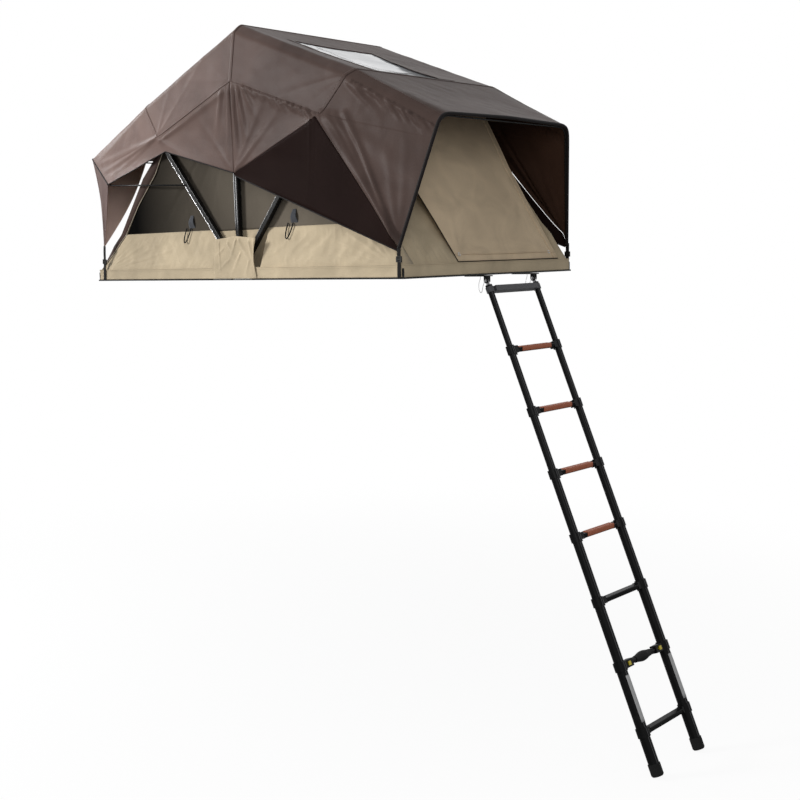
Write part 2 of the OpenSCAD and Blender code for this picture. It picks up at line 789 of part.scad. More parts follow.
// Half rows from the hem to the ridge: hem, shoulder, low corner, high corner, middle
function middle_row(s) = [
  [s * half_gap / 2, -fly_shoulder_y, hem_z],
  [s * half_gap / 2, -fly_shoulder_y, fold_z + fly_shoulder_r],
  [s * half_gap / 2, -fly_corner[0], fold_z + fly_corner[1]],
  [s * half_gap / 2, -fly_crest[0], fold_z + fly_crest[1]],
  [s * half_gap / 2, 0, fold_z + fly_top_r]
];
rear_bow_row = [
  rear_bow_point(rear_hem_r, -fly_shoulder_y),
  rear_bow_point(fly_shoulder_r, -fly_shoulder_y),
  rear_bow_point(fly_corner[1], -fly_corner[0]),
  rear_bow_point(fly_crest[1], -fly_crest[0]),
  rear_bow_point(fly_top_r, 0)
];
rear_end_row = [
  rod_corner,
  lerp(rod_corner, rear_eave, 0.6),
  lerp(rod_corner, rear_eave, 0.8),
  rear_eave,
  [-rear_awning_x, 0, rear_awning_z + 8]
];
front_bow_row = [
  mirror_x(rear_bow_point(fly_shoulder_r - 14, -fly_shoulder_y - gusset_out)),
  mirror_x(rear_bow_point(fly_shoulder_r, -fly_shoulder_y)),
  mirror_x(rear_bow_point(fly_corner[1], -fly_corner[0])),
  mirror_x(rear_bow_point(fly_crest[1], -fly_crest[0])),
  mirror_x(rear_bow_point(fly_top_r, 0))
];
front_end_row = [
  front_anchor,
  lerp(front_anchor, front_rim, 0.8),
  lerp(front_anchor, front_rim, 0.92),
  front_rim,
  [front_awning_x + 8, 0, front_awning_z + 8]
];

// Columns: four steps for the side, one for each part of the corner, four for each half of the roof
function fly_columns(row) = let (
  w = whole(row)
) concat(
  spread(w[0], w[1], 4), [w[1], w[2]], spread(w[3], w[4], 4),
  spread(w[4], w[5], 4), [w[5], w[6]], spread(w[7], w[8], 4), [w[8]]
);
fly_bays = 6;

// Roof dip and the long folds that run from the shoulders to the hem
function fly_fold(i, j) = let (
  u = (i % fly_bays) / fly_bays,
  side = j < 5 ? 1 : j > 15 ? -1 : 0,
  roof = j > 5 && j < 15 ? pow(sin(18 * (j - 5)), 0.7) : 0,
  drop = side == 0 ? 0 : 1 - abs(abs(j - 10) - 8) / 3,
  ripple = 7 * sin(200 * i) * max(0, drop) * sin(180 * u)
) [0, side * (12 * max(0, drop) * sin(180 * u) + ripple), -roof_dip * sin(180 * u) * roof];

function fly_grid(rows) = let (
  g = fine([for (r = rows) fly_columns(r)], fly_bays)
) [for (i = [0:len(g) - 1]) [for (j = [0:20]) g[i][j] + fly_fold(i, j)]];

rear_fly_grid = fly_grid([rear_end_row, rear_bow_row, middle_row(-1)]);
front_fly_grid = fly_grid([middle_row(1), front_bow_row, front_end_row]);
skylight_cells = [1, 5, 8, 12];

module rear_fly() {
  color(fly_brown) place() cloth(rear_fly_grid);
}

// Gusset under the front shoulder, from the middle bow's hem to the anchor, along the fly's seam
function gusset_grid() = let (
  last = 2 * fly_bays,
  hem = front_fly_grid[0][0] + [6, 0, -14],
  foot = front_anchor + [-14, 0, -12]
) [
  for (i = [0:last]) let (
    seam = front_fly_grid[i][0] + [i == 0 ? 6 : -cloth_t, 0, -cloth_t - cloth_gap],
    edge = lerp(hem, foot, i / last)
  ) [for (k = [0:3]) lerp(edge, seam, k / 3) - [0, 3 * sin(60 * k) * sin(180 * i / last), 0]]
];

module front_fly() {
  color(fly_brown) place() {
    cloth(front_fly_grid, hole = skylight_cells);
    both_sides() cloth(gusset_grid());
  }
}

// Clear film let into the roof, with a hair of room round its edge
module skylight_window() {
  c = skylight_cells;
  g = [for (i = [c[0]:c[1]]) [for (j = [c[2]:c[3]]) front_fly_grid[i][j]]];
  mid = g[2][2];
  shrink = 1 - 2 * cloth_gap / (half_l / 5);
  color([0.92, 0.93, 0.94, 0.6]) place()
    cloth([for (r = g) [for (p = r) mid + (p - mid) * shrink]], cloth_t * 0.6);
}

// Corner flaps of the rear awning: a narrow side strip and an end curtain down to the anchor
function flap_grid() = let (
  drop = [0, 0, -4],
  head = fine([
    rear_end_row[0] + drop, rear_end_row[1] + drop + [-2, -1, 0],
    rear_eave + drop + [-2, 0, 0], [-rear_awning_x + 4, -110, rear_awning_z + 2]
  ], 3),
  foot = [
    for (k = [0:len(head) - 1]) rear_anchor + [-1.6 * k, 6 * pow(k / 9, 2), 0]
  ]
) [
  for (i = [0:6]) let (u = i / 6) [
    for (k = [0:len(head) - 1]) lerp(head[k], foot[k], u)
      + [10 * sin(180 * u) * sin(80 * k), 0, 0]
  ]
];

module rear_corner_flaps() {
  color(fly_brown) place() both_sides() cloth(flap_grid());
}

// Spring rods that spread the awnings
rod_d = 6;
rod_root_r = 476;
module rear_awning_rods() {
  root = rear_bow_point(rod_root_r, -leg_out - cloth_gap - rod_d / 2);
  corner = rod_corner + [10, 8, -6];
  rim = rear_eave + [12, 10, -10];
  side = [root, corner, rim];
  far = [for (k = [2:-1:0]) mirror_y(side[k])];
  color(black_metal) place() rod(concat(side, far), rod_d);
}

module front_awning_hoop() {
  foot = front_anchor + [-6, cloth_t + 2 * cloth_gap + rod_d / 2, 8];
  knee = front_end_row[1] + [-12, 10, -8];
  rim = front_rim + [-12, 6, -12];
  side = [foot, knee, rim];
  far = [for (k = [2:-1:0]) mirror_y(side[k])];
  color(black_metal) place() rod(concat(side, far), rod_d);
}

// A strap of webbing in the side's plane, and the buckle that it runs through
strap_w = 20;
strap_t = 2;
strap_y = half_w + cloth_gap;
module anchor_strap(top, foot) {
  run = foot - top;
  turn = atan2(run[0], -run[2]);
  translate([top[0], -strap_y, top[2]]) rotate([0, -turn, 0])
    translate([-strap_w / 2, -strap_t, -norm([run[0], run[2]])])
      cube([strap_w, strap_t, norm([run[0], run[2]])]);
}

module strap_buckle(top, foot, at) {
  run = foot - top;
  turn = atan2(run[0], -run[2]);
  place_at = lerp(top, foot, at);
  translate([place_at[0], -strap_y - strap_t / 2, place_at[2]]) rotate([0, -turn, 0]) difference() {
    cube([strap_w + 10, 7, 26], center = true);
    cube([strap_w + 2 * cloth_gap, strap_t + 2 * cloth_gap, 40], center = true);
    for (z = [-6, 6]) translate([0, -5, z]) cube([strap_w - 4, 8, 5], center = true);
  }
}

rear_strap_top = rear_anchor + [2, 0, 8];
rear_strap_foot = [-half_l + 62, -half_w, 2];
front_strap_top = front_anchor + [-2, 0, 6];
front_strap_foot = [half_l - 23, -half_w, 2];

module rear_anchor_straps() {
  color(black_metal) place() both_sides() anchor_strap(rear_strap_top, rear_strap_foot);
}

module front_anchor_straps() {
  color(black_metal) place() both_sides() anchor_strap(front_strap_top, front_strap_foot);
}

module rear_buckles() {
  color(black_metal) place() both_sides() strap_buckle(rear_strap_top, rear_strap_foot, 0.45);
}

module front_buckles() {
  color(black_metal) place() both_sides() strap_buckle(front_strap_top, front_strap_foot, 0.4);
}

// Ladder

function stile_r(k) = (stile_d + (k - 1) * stile_step) / 2;

// Frame of the leaning ladder: origin on the bracket pins, -Z down along the stiles
module ladder_frame() {
  place() translate([pivot_x, ladder_y, -pivot_drop]) rotate([0, -ladder_lean, 0]) children();
}

module stiles() {
  for (s = [-1, 1]) translate([0, s * stile_span / 2, 0]) children();
}

module stile_tube(k, from, to) {
  stiles() translate([0, 0, -to]) difference() {
    cylinder(h = to - from, r = stile_r(k));
    translate([0, 0, -1]) cylinder(h = to - from + 2, r = stile_r(k) - stile_wall);
  }
}

link_gap = 0.2;
ear_gap = 0.4;
module ladder_brackets() {
  ear_y = link_t / 2 + ear_gap;
  color(black_metal) place() translate([0, ladder_y, 0]) stiles() difference() {
    union() {
      translate([half_l - 70, -25, -5]) cube([pivot_x + 14 - half_l + 70, 50, 5]);
      for (s = [-1, 1]) translate([pivot_x, s * (ear_y + ear_t / 2), -pivot_drop]) rotate([90, 0, 0]) {
        translate([0, 0, -ear_t / 2]) cylinder(h = ear_t, r = 13);
        translate([-13, 0, -ear_t / 2]) cube([26, pivot_drop - 2, ear_t]);
      }
    }
    translate([pivot_x, 40, -pivot_drop]) rotate([90, 0, 0]) cylinder(h = 80, d = pin_d);
  }
}

module bracket_pins() {
  reach = link_t / 2 + ear_gap + ear_t;
  color(bare_metal) place() translate([0, ladder_y, 0]) stiles()
    translate([pivot_x, reach + 5, -pivot_drop]) rotate([90, 0, 0]) {
      cylinder(h = 2 * reach + 9, d = pin_d);
      translate([0, 0, 2 * reach + 5.1]) cylinder(h = 4, d = pin_d + 6);
    }
}

// Wire lanyards that keep the bracket pins: from under the bracket, round and up to the pin's head
lanyard_d = 2.4;
lanyard_path = [
  [-24, -18, -5.2], [-24, -19, -14], [-26, -22, -26], [-28, -25, -40], [-28, -26, -54], [-26, -26, -66],
  [-21, -26, -75], [-15, -26, -79], [-11, -26, -76], [-9, -25, -68], [-7, -24, -57], [-5, -23, -46],
  [-2, -21, -36], [0, -18, -28], [0, -15, -25], [0, -12.7, -24]
];
module pin_lanyards() {
  color(bare_metal) place() translate([pivot_x, ladder_y, 0]) stiles() cord(lanyard_path, lanyard_d);
}

link_l = 78;
module link_arms() {
  color(bare_metal) ladder_frame() stiles() rotate([90, 0, 0]) translate([0, 0, -link_t / 2])
    difference() {
      union() {
        cylinder(h = link_t, r = 11);
        translate([-9, -link_l, 0]) cube([18, link_l, link_t]);
      }
      translate([0, 0, -1]) cylinder(h = link_t + 2, d = pin_d + 2 * run_gap);
    }
}

cap_at = 22;
module ladder_section_1() {
  bore = stile_r(1) - stile_wall;
  color(black_metal) ladder_frame() {
    stile_tube(1, cap_at + 6, rung_at[0] + section_lap);
    // Slotted caps that hold the link arms
    stiles() difference() {
      union() {
        translate([0, 0, -cap_at - 6]) cylinder(h = 6, r = stile_r(1) + 2);
        translate([0, 0, -link_l - 12]) cylinder(h = link_l + 12 - cap_at - 3, r = bore - 0.1);
      }
      translate([-30, -link_t / 2 - link_gap, -link_l - link_gap])
        cube([60, link_t + 2 * link_gap, link_l]);
    }
  }
}

module top_step() {
  step_h = 26;
  step_w = 40;
  reach = stile_span / 2 - stile_r(1);
  color([0.30, 0.30, 0.31]) ladder_frame() translate([4, 0, -step_at]) difference() {
    union() {
      translate([-step_w / 2, -reach + 4, -step_h / 2]) cube([step_w, 2 * reach - 8, step_h]);
      // Cheeks that clasp the stiles
      for (s = [-1, 1]) translate([-4, s * stile_span / 2, -step_h / 2])
        cylinder(h = step_h, r = stile_r(1) + 5);
    }
    for (s = [-1, 1]) translate([-4, s * stile_span / 2, -step_h])
      cylinder(h = 2 * step_h, r = stile_r(1) + 0.1);
    // Grooves along the tread
    for (x = [-12, -4, 4, 12])
      translate([x - 1.5, -reach - 10, step_h / 2 - 1.5]) cube([3, 2 * reach + 20, 3]);
  }
}

// Collars and rung bar of a section: k is the rung's number, counted from the top
function boss_end(k) = stile_span / 2 - stile_r(k + 1) - collar_t - boss_l;

module collar(r) {
  stiles() translate([0, 0, -collar_h / 2]) difference() {
    cylinder(h = collar_h, r = r + collar_t);
    translate([0, 0, -1]) cylinder(h = collar_h + 2, r = r + 0.1);
  }
}

module rung_ends(r) {
  // Blocks that join the collars to the bar, each bored for a latch button
  for (s = [-1, 1]) mirror([0, s > 0 ? 0 : 1, 0]) difference() {
    translate([-15, stile_span / 2 - r - collar_t - boss_l, -collar_h / 2 + 4])
      cube([30, boss_l + collar_t, collar_h - 8]);
    translate([0, stile_span / 2, -collar_h]) cylinder(h = 2 * collar_h, r = r + 0.1);
    translate([0, stile_span / 2 - r - collar_t - boss_l / 2, -collar_h / 2])
      cylinder(h = collar_h / 2, d = button_d + 2 * run_gap);
  }
}

module rung_bar(l) {
  rotate([90, 0, 0]) translate([0, 0, -l / 2]) linear_extrude(l) rotate(-ladder_lean) {
    square([rung_w - 8, rung_h], center = true);
    square([rung_w, rung_h - 8], center = true);
    for (x = [-1, 1], y = [-1, 1])
      translate([x * (rung_w / 2 - 4), y * (rung_h / 2 - 4)]) circle(4, $fn = 24);
  }
}

// A section is two tubes with a collared rung at their upper end
module ladder_section(k) {
  r = stile_r(k);
  at = rung_at[k - 2];
  color(black_metal) ladder_frame() {
    stile_tube(k, at - collar_h / 2, rung_at[k - 1] + section_lap);
    translate([0, 0, -at]) {
      difference() {
        union() {
          collar(r);
          rung_ends(r);
        }
        stiles() translate([0, 0, -collar_h]) cylinder(h = 2 * collar_h, r = r + 0.1);
      }
      rung_bar(2 * boss_end(k - 1));
    }
  }
}

module ladder_section_2() { ladder_section(2); }
module ladder_section_3() { ladder_section(3); }
module ladder_section_4() { ladder_section(4); }
module ladder_section_5() { ladder_section(5); }
module ladder_section_6() { ladder_section(6); }

// Lowest section: release rung at the top, plain rung below, feet at the end
grip_bar_d = 24;
housing_l = 52;
housing_w = 32;
housing_h = 34;
tab_slot = [12, 26, 8];
release_travel = 10;
tab_gap = 0.3;
foot_t = 20;
module ladder_section_7() {
  r = stile_r(7);
  inner = stile_span / 2 - r - collar_t;
  color(black_metal) ladder_frame() {
    stile_tube(7, rung_at[5] - collar_h / 2, foot_at - foot_t);
    translate([0, 0, -rung_at[5]]) {
      difference() {
        union() {
          collar(r);
          for (s = [-1, 1])
            translate([-housing_w / 2, s > 0 ? inner - housing_l : -inner - collar_t, -housing_h / 2])
              cube([housing_w, housing_l + collar_t, housing_h]);
          rotate([90, 0, 0]) translate([0, 0, -inner + 1]) cylinder(h = 2 * inner - 2, d = grip_bar_d);
        }
        stiles() translate([0, 0, -collar_h]) cylinder(h = 2 * collar_h, r = r + 0.1);
        // Slots for the release tabs
        for (s = [-1, 1])
          translate([(housing_w - tab_slot[0]) / 2 + 0.01, s * (inner - housing_l / 2), 0])
            cube(tab_slot, center = true);
      }
    }
    translate([0, 0, -rung_at[6]]) {
      difference() {
        union() {
          collar(r);
          for (s = [-1, 1]) translate([-15, s > 0 ? inner - 10 : -inner - collar_t, -14])
            cube([30, 10 + collar_t, 28]);
        }
        stiles() translate([0, 0, -collar_h]) cylinder(h = 2 * collar_h, r = r + 0.1);
      }
      rung_bar(2 * (inner - 10));
    }
  }
}

module tread(k) {
  l = 2 * boss_end(k) - 2 * (rung_end - boss_l);
  color(tread_red) ladder_frame() translate([0, 0, -rung_at[k - 1]]) rotate([0, ladder_lean, 0])
    translate([0, 0, rung_h / 2]) difference() {
      translate([-rung_w / 2 + 3, -l / 2, 0]) cube([rung_w - 6, l, 3]);
      for (x = [-6, 0, 6]) translate([x - 1, -l, 2]) cube([2, 2 * l, 3]);
    }
}

module rung_tread_1() { tread(1); }
module rung_tread_2() { tread(2); }
module rung_tread_3() { tread(3); }
module rung_tread_4() { tread(4); }

module latch_buttons(k) {
  r = stile_r(k + 1);
  color(black_metal) ladder_frame() translate([0, 0, -rung_at[k - 1] - collar_h / 2 + 4])
    for (s = [-1, 1]) translate([0, s * (stile_span / 2 - r - collar_t - boss_l / 2), -button_out]) {
      cylinder(h = button_out + 8, d = button_d);
      cylinder(h = 2, d = button_d + 3);
    }
}

module latch_buttons_1() { latch_buttons(1); }
module latch_buttons_2() { latch_buttons(2); }
module latch_buttons_3() { latch_buttons(3); }
module latch_buttons_4() { latch_buttons(4); }
module latch_buttons_5() { latch_buttons(5); }

// A release tab sits at the outer end of its slot and slides towards the middle
module release_tab(s) {
  inner = stile_span / 2 - stile_r(7) - collar_t;
  tab_l = tab_slot[1] - release_travel - 2 * tab_gap;
  slot_end = inner - housing_l / 2 + tab_slot[1] / 2 - tab_gap;
  color(tab_yellow) ladder_frame() translate([0, 0, -rung_at[5]]) mirror([0, s > 0 ? 0 : 1, 0])
    translate([housing_w / 2 - tab_slot[0] + tab_gap, slot_end - tab_l, tab_gap - tab_slot[2] / 2]) {
      cube([tab_slot[0] + 3, tab_l, tab_slot[2] - 2 * tab_gap]);
      // Thumb plate, just off the housing's face
      translate([tab_slot[0], -1, -5]) cube([4, tab_l + 2, tab_slot[2] + 10 - 2 * tab_gap]);
    }
}

module release_left() { release_tab(-1); }
module release_right() { release_tab(1); }

// Swelling hand grip round the release bar
module carry_grip() {
  half = 62;
  color(black_metal) ladder_frame() translate([0, 0, -rung_at[5]]) rotate([90, 0, 0]) rotate_extrude()
    polygon(concat(
      [for (k = [0:12]) [grip_bar_d / 2 + 3 + 8 * pow(sin(15 * k), 2), lerp(-half, half, k / 12)]],
      [[grip_bar_d / 2 + 0.1, half], [grip_bar_d / 2 + 0.1, -half]]
    ));
}

module ladder_feet() {
  r = stile_r(7);
  color(black_metal) ladder_frame() stiles() translate([0, 0, -foot_at]) difference() {
    union() {
      translate([0, 0, 6]) cylinder(h = 48, r = r + 3.5);
      cylinder(h = 6.01, r1 = r - 1, r2 = r + 3.5);
    }
    translate([0, 0, foot_t]) cylinder(h = 60, r = r + 0.1);
  }
}

mounting_rails();
rear_board();
rear_edge_frame();
rear_hinge_plates();
rear_mattress();
rear_skirt();
rear_tent_walls();
rear_window_mesh();
rear_fly();
rear_corner_flaps();
rear_awning_rods();
rear_anchor_straps();
rear_buckles();
fold_bolts();
hinge_cover_patches();
front_board();
front_edge_frame();
front_hinge_plates();
front_mattress();
front_skirt();
front_tent_walls();
front_window_mesh();
front_fly();
skylight_window();
front_awning_hoop();
front_anchor_straps();
front_buckles();
door_flap();
front_bow_bolts();
ladder_brackets();
bracket_pins();
pin_lanyards();
rear_bow_legs();
rear_bow_arch();
middle_bow_legs();
middle_bow_arch();
front_bow_legs();
front_bow_arch();
link_arms();
top_step();
ladder_section_1();
ladder_section_2();
ladder_section_3();
ladder_section_4();
ladder_section_5();
ladder_section_6();
ladder_section_7();
rung_tread_1();
rung_tread_2();
rung_tread_3();
rung_tread_4();
latch_buttons_1();
latch_buttons_2();
latch_buttons_3();
latch_buttons_4();
latch_buttons_5();
release_left();
release_right();
carry_grip();
ladder_feet();
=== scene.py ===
# %% [markdown]
# # A fold-out roof top tent
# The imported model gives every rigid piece: base, hinge, bows, ladder. This lesson dresses it: the soft
# pieces are made again as real cloth, and the rigid ones get finishes. Sizes are written in millimetres
# about the fold line, as a tent maker would measure them, and turned into metres in one place.

# %% The frame
import math

import bmesh
import bpy
import numpy as np
from mathutils import Matrix, Vector, noise


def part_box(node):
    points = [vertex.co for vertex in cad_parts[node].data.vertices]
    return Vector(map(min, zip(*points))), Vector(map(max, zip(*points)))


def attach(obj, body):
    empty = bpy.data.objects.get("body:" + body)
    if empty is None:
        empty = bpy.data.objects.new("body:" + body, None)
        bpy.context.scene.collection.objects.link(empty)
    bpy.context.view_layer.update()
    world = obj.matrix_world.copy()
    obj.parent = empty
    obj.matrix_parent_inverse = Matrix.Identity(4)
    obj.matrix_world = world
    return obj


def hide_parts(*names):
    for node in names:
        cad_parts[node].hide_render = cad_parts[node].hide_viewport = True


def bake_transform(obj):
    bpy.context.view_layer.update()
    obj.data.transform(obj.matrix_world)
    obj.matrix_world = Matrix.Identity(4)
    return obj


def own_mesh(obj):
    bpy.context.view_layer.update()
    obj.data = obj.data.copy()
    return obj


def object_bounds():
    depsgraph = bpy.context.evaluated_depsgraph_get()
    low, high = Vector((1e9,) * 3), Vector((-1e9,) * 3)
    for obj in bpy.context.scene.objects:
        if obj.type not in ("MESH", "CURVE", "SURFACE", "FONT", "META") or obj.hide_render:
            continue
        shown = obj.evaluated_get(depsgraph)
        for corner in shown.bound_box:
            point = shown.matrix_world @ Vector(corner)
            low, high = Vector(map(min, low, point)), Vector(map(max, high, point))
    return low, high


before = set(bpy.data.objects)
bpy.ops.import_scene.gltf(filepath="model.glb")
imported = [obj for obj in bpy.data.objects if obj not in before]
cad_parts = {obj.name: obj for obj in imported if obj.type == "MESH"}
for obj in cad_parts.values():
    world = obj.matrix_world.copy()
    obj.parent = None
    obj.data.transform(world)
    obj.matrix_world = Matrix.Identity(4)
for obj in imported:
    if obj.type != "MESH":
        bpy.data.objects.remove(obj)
cad_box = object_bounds()
scene = bpy.context.scene
FOLD_LINE = np.array([575.0, 0.0, 8.0])
SIDES = (-1, 1)  # the near side and the far side


def metres(points):
    """Points in millimetres about the fold line, as metres in the model's own frame."""
    return (np.asarray(points, float) + FOLD_LINE) / 1000


def box_mm(name):
    """The two corners of a solid's box, in millimetres about the fold line."""
    return [np.array(c) * 1000 - FOLD_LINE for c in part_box(name)]


def added(name, data):
    """A new object in the scene."""
    obj = bpy.data.objects.new(name, data)
    scene.collection.objects.link(obj)
    return obj


# %% [markdown]
# ## Camera
# The tent was photographed from near the height of its base, off the entrance corner, with a lens a
# little longer than normal. A camera's place is easiest to keep true as a point, three angles and a
# focal length; building its matrix from them leaves nothing to aim by eye.

# %% Camera
VIEW_FROM = metres([4570.1, -4364.1, 109.7])
TURN, TILT, ROLL = (math.radians(a) for a in (42.767, -7.068, -1.490))
forward = Vector((-math.sin(TURN) * math.cos(TILT), math.cos(TURN) * math.cos(TILT), math.sin(TILT)))
right = Vector((math.cos(TURN), math.sin(TURN), 0))
above = right.cross(forward)
right, above = (
    math.cos(ROLL) * right + math.sin(ROLL) * above,
    math.cos(ROLL) * above - math.sin(ROLL) * right,
)
lens = bpy.data.cameras.new("camera")
lens.lens = 53.226
lens.sensor_width = 36
camera = added("camera", lens)
camera.matrix_world = Matrix((right, above, -forward)).transposed().to_4x4()
camera.matrix_world.translation = VIEW_FROM
scene.camera = camera
print("camera at", [round(c, 3) for c in VIEW_FROM])

# %% [markdown]
# ## Lamps
# The photograph is lit by one broad lamp low on the near side. Two weaker lamps lift the entrance and
# the rear edge. A lamp is given by its place, the point that it is aimed at, its size and its power.

# %% Lamps
scene.view_settings.view_transform = "Standard"
LAMPS = {
    "key_lamp": ((-3.5, -5.6, 2.5), (0.5, 0, 0.4), 1.8, 440),
    "fill_lamp": ((5.2, -3.6, 1.3), (1.0, 0, 0.2), 3.0, 55),
    "back_lamp": ((-6.0, -1.2, 3.2), (0.2, 0, 0.8), 2.0, 130),
}
for name, (place, aim, size, power) in LAMPS.items():
    light = bpy.data.lights.new(name, "AREA")
    light.shape = "DISK"
    light.size = size
    light.energy = power
    toward_aim = (Vector(aim) - Vector(place)).to_track_quat("-Z", "Y")
    added(name, light).matrix_world = Matrix.Translation(place) @ toward_aim.to_matrix().to_4x4()
print("lamps:", list(LAMPS))

# %% [markdown]
# ## World and floor
# The rest is a plain studio: a pale world that is white where the camera looks at it, and a floor under
# the ladder's feet that fades to white away from the tent, so that no horizon shows. Shader trees are
# wired in text here, so one helper adds a node, sets it and fills its inputs.

# %% World and floor
def fill(tree, made, inputs):
    """Gives each named input a constant, or the output of another node."""
    for label, value in dict(inputs).items():
        if isinstance(value, bpy.types.NodeSocket):
            tree.links.new(value, made.inputs[label])
        else:
            made.inputs[label].default_value = value
    return made


def node(tree, kind, inputs=(), **settings):
    made = tree.nodes.new(kind)
    for label, value in settings.items():
        setattr(made, label, value)
    return fill(tree, made, inputs)


def maths(tree, operation, *values):
    return node(tree, "ShaderNodeMath", enumerate(values), operation=operation).outputs[0]


def grey(value):
    return (value, value, value)


world = bpy.data.worlds.new("studio")
scene.world = world
world.use_nodes = True
tree = world.node_tree
tree.nodes.clear()
ray = node(tree, "ShaderNodeLightPath").outputs
seen = maths(tree, "MAXIMUM", ray["Is Camera Ray"], ray["Is Glossy Ray"])
seen = maths(tree, "MAXIMUM", seen, ray["Is Transmission Ray"])
ambient = node(tree, "ShaderNodeBackground", {"Color": (0.98, 0.99, 1.0, 1), "Strength": 0.38})
white = node(tree, "ShaderNodeBackground", {"Color": (1, 1, 1, 1)})
either = node(tree, "ShaderNodeMixShader", {0: seen, 1: ambient.outputs[0], 2: white.outputs[0]})
node(tree, "ShaderNodeOutputWorld", {"Surface": either.outputs[0]})

FLOOR_Z, FLOOR_HALF = cad_box[0].z - 0.001, 60
FADE_FROM, FADE_TO, LEAST_GLOW = 1.5, 5.5, 0.86
ground = bpy.data.meshes.new("floor")
corners = [(x * FLOOR_HALF, y * FLOOR_HALF, FLOOR_Z) for x, y in ((-1, -1), (1, -1), (1, 1), (-1, 1))]
ground.from_pydata(corners, [], [(0, 1, 2, 3)])
floor = added("floor", ground)
floor_mat = bpy.data.materials.new("floor_white")
floor_mat.use_nodes = True
tree = floor_mat.node_tree
tree.nodes.clear()
to_camera = node(tree, "ShaderNodeLightPath").outputs["Is Camera Ray"]
tones = {"Factor": to_camera, "A": (*grey(0.42), 1), "B": (*grey(0.93), 1)}
tone = node(tree, "ShaderNodeMix", tones, data_type="RGBA")
matt = node(tree, "ShaderNodeBsdfDiffuse", {"Color": tone.outputs["Result"]})
place = node(tree, "ShaderNodeTexCoord").outputs["Object"]
away = node(tree, "ShaderNodeVectorMath", {0: place}, operation="LENGTH").outputs["Value"]
limits = {"Value": away, "From Min": FADE_FROM, "From Max": FADE_TO, "To Min": LEAST_GLOW}
fade = node(tree, "ShaderNodeMapRange", limits, interpolation_type="SMOOTHSTEP").outputs["Result"]
glow = node(tree, "ShaderNodeEmission")
share = maths(tree, "MULTIPLY", fade, to_camera)
blend = node(tree, "ShaderNodeMixShader", {0: share, 1: matt.outputs[0], 2: glow.outputs[0]})
node(tree, "ShaderNodeOutputMaterial", {"Surface": blend.outputs[0]})
ground.materials.append(floor_mat)
print("floor at", round(FLOOR_Z, 3))

# %% [markdown]
# ## Shader groups
# A few effects turn up on many finishes: the crossing threads of a woven cloth, the soft creases it
# keeps from being packed, and the faint scuffs of painted metal. Each is a node group with named
# inputs, so that a material only chooses sizes and strengths. Threads and creases also put out a tone
# that is painted shade: darker where they lie low.

# %% Shader groups
def group(name, inputs, outputs, kind="ShaderNodeTree"):
    """A node group and its given inputs; an input is a number or the name of a kind of socket."""
    tree = bpy.data.node_groups.new(name, kind)
    for label, value in inputs.items():
        sort = value if isinstance(value, str) else "Float"
        socket = tree.interface.new_socket(label, in_out="INPUT", socket_type=f"NodeSocket{sort}")
        if sort == "Float":
            socket.default_value = value
    for label, sort in outputs.items():
        tree.interface.new_socket(label, in_out="OUTPUT", socket_type=f"NodeSocket{sort}")
    return tree, tree.nodes.new("NodeGroupInput").outputs


def two_tones(tree, fac, dark, light, low=0.3, high=0.7):
    made = node(tree, "ShaderNodeValToRGB", {"Fac": fac})
    for stop, place, colour in zip(made.color_ramp.elements, (low, high), (dark, light)):
        stop.position = place
        stop.color = (*colour, 1)
    return made.outputs["Color"]


weave, given = group(
    "crossing_threads",
    {"Vector": "Vector", "Threads per metre": 900.0},
    {"Height": "Float", "Tone and painted shade": "Float"},
)
split = node(weave, "ShaderNodeSeparateXYZ", {0: given["Vector"]}).outputs
turns = maths(weave, "MULTIPLY", given["Threads per metre"], math.pi)
warp, weft = (maths(weave, "SINE", maths(weave, "MULTIPLY", split[axis], turns)) for axis in "XY")
height = maths(weave, "MULTIPLY_ADD", maths(weave, "MULTIPLY", warp, weft), 0.5, 0.5)
speckle = node(weave, "ShaderNodeTexNoise", {"Vector": given["Vector"], "Scale": 240, "Detail": 3})
# Painted shade in part: the tone is darker in the low parts between the threads and lighter on their
# crowns, with random flecks over it.
fleck_and_shade = maths(weave, "MULTIPLY_ADD", height, 0.35, speckle.outputs["Fac"])
node(weave, "NodeGroupOutput", {"Height": height, "Tone and painted shade": fleck_and_shade})

creases, given = group(
    "packing_creases",
    {"Vector": "Vector", "Scale": 5.0},
    {"Height": "Float", "Tone and painted shade": "Float"},
)
where = {"Vector": given["Vector"], "Scale": given["Scale"]}
rolling = {**where, "Detail": 4, "Roughness": 0.45, "Distortion": 0.8}
broad = node(creases, "ShaderNodeTexNoise", rolling).outputs["Fac"]
cells = {**where, "Scale": maths(creases, "MULTIPLY", given["Scale"], 1.3)}
lines = node(creases, "ShaderNodeTexVoronoi", cells, feature="DISTANCE_TO_EDGE").outputs["Distance"]
ridge = maths(creases, "MINIMUM", maths(creases, "MULTIPLY", lines, 6.0), 1.0)
height = maths(creases, "MULTIPLY_ADD", ridge, 0.12, broad)
# The tone is the broad part of the creases' height, so it is painted shade: darker in their hollows,
# lighter on their tops.
node(creases, "NodeGroupOutput", {"Height": height, "Tone and painted shade": broad})

scuffs, given = group(
    "handling_scuffs",
    {"Vector": "Vector", "Scale": 30.0},
    {"Mask": "Float", "Grain": "Float"},
)
rubbed = {"Vector": given["Vector"], "Scale": given["Scale"], "Detail": 6, "Roughness": 0.7}
rub = node(scuffs, "ShaderNodeTexNoise", rubbed).outputs["Fac"]
grain = node(scuffs, "ShaderNodeTexNoise", {"Vector": given["Vector"], "Scale": 900}).outputs["Fac"]
mask = two_tones(scuffs, rub, grey(0), grey(1), 0.52, 0.78)
node(scuffs, "NodeGroupOutput", {"Mask": mask, "Grain": grain})
print("groups:", [g.name for g in bpy.data.node_groups])

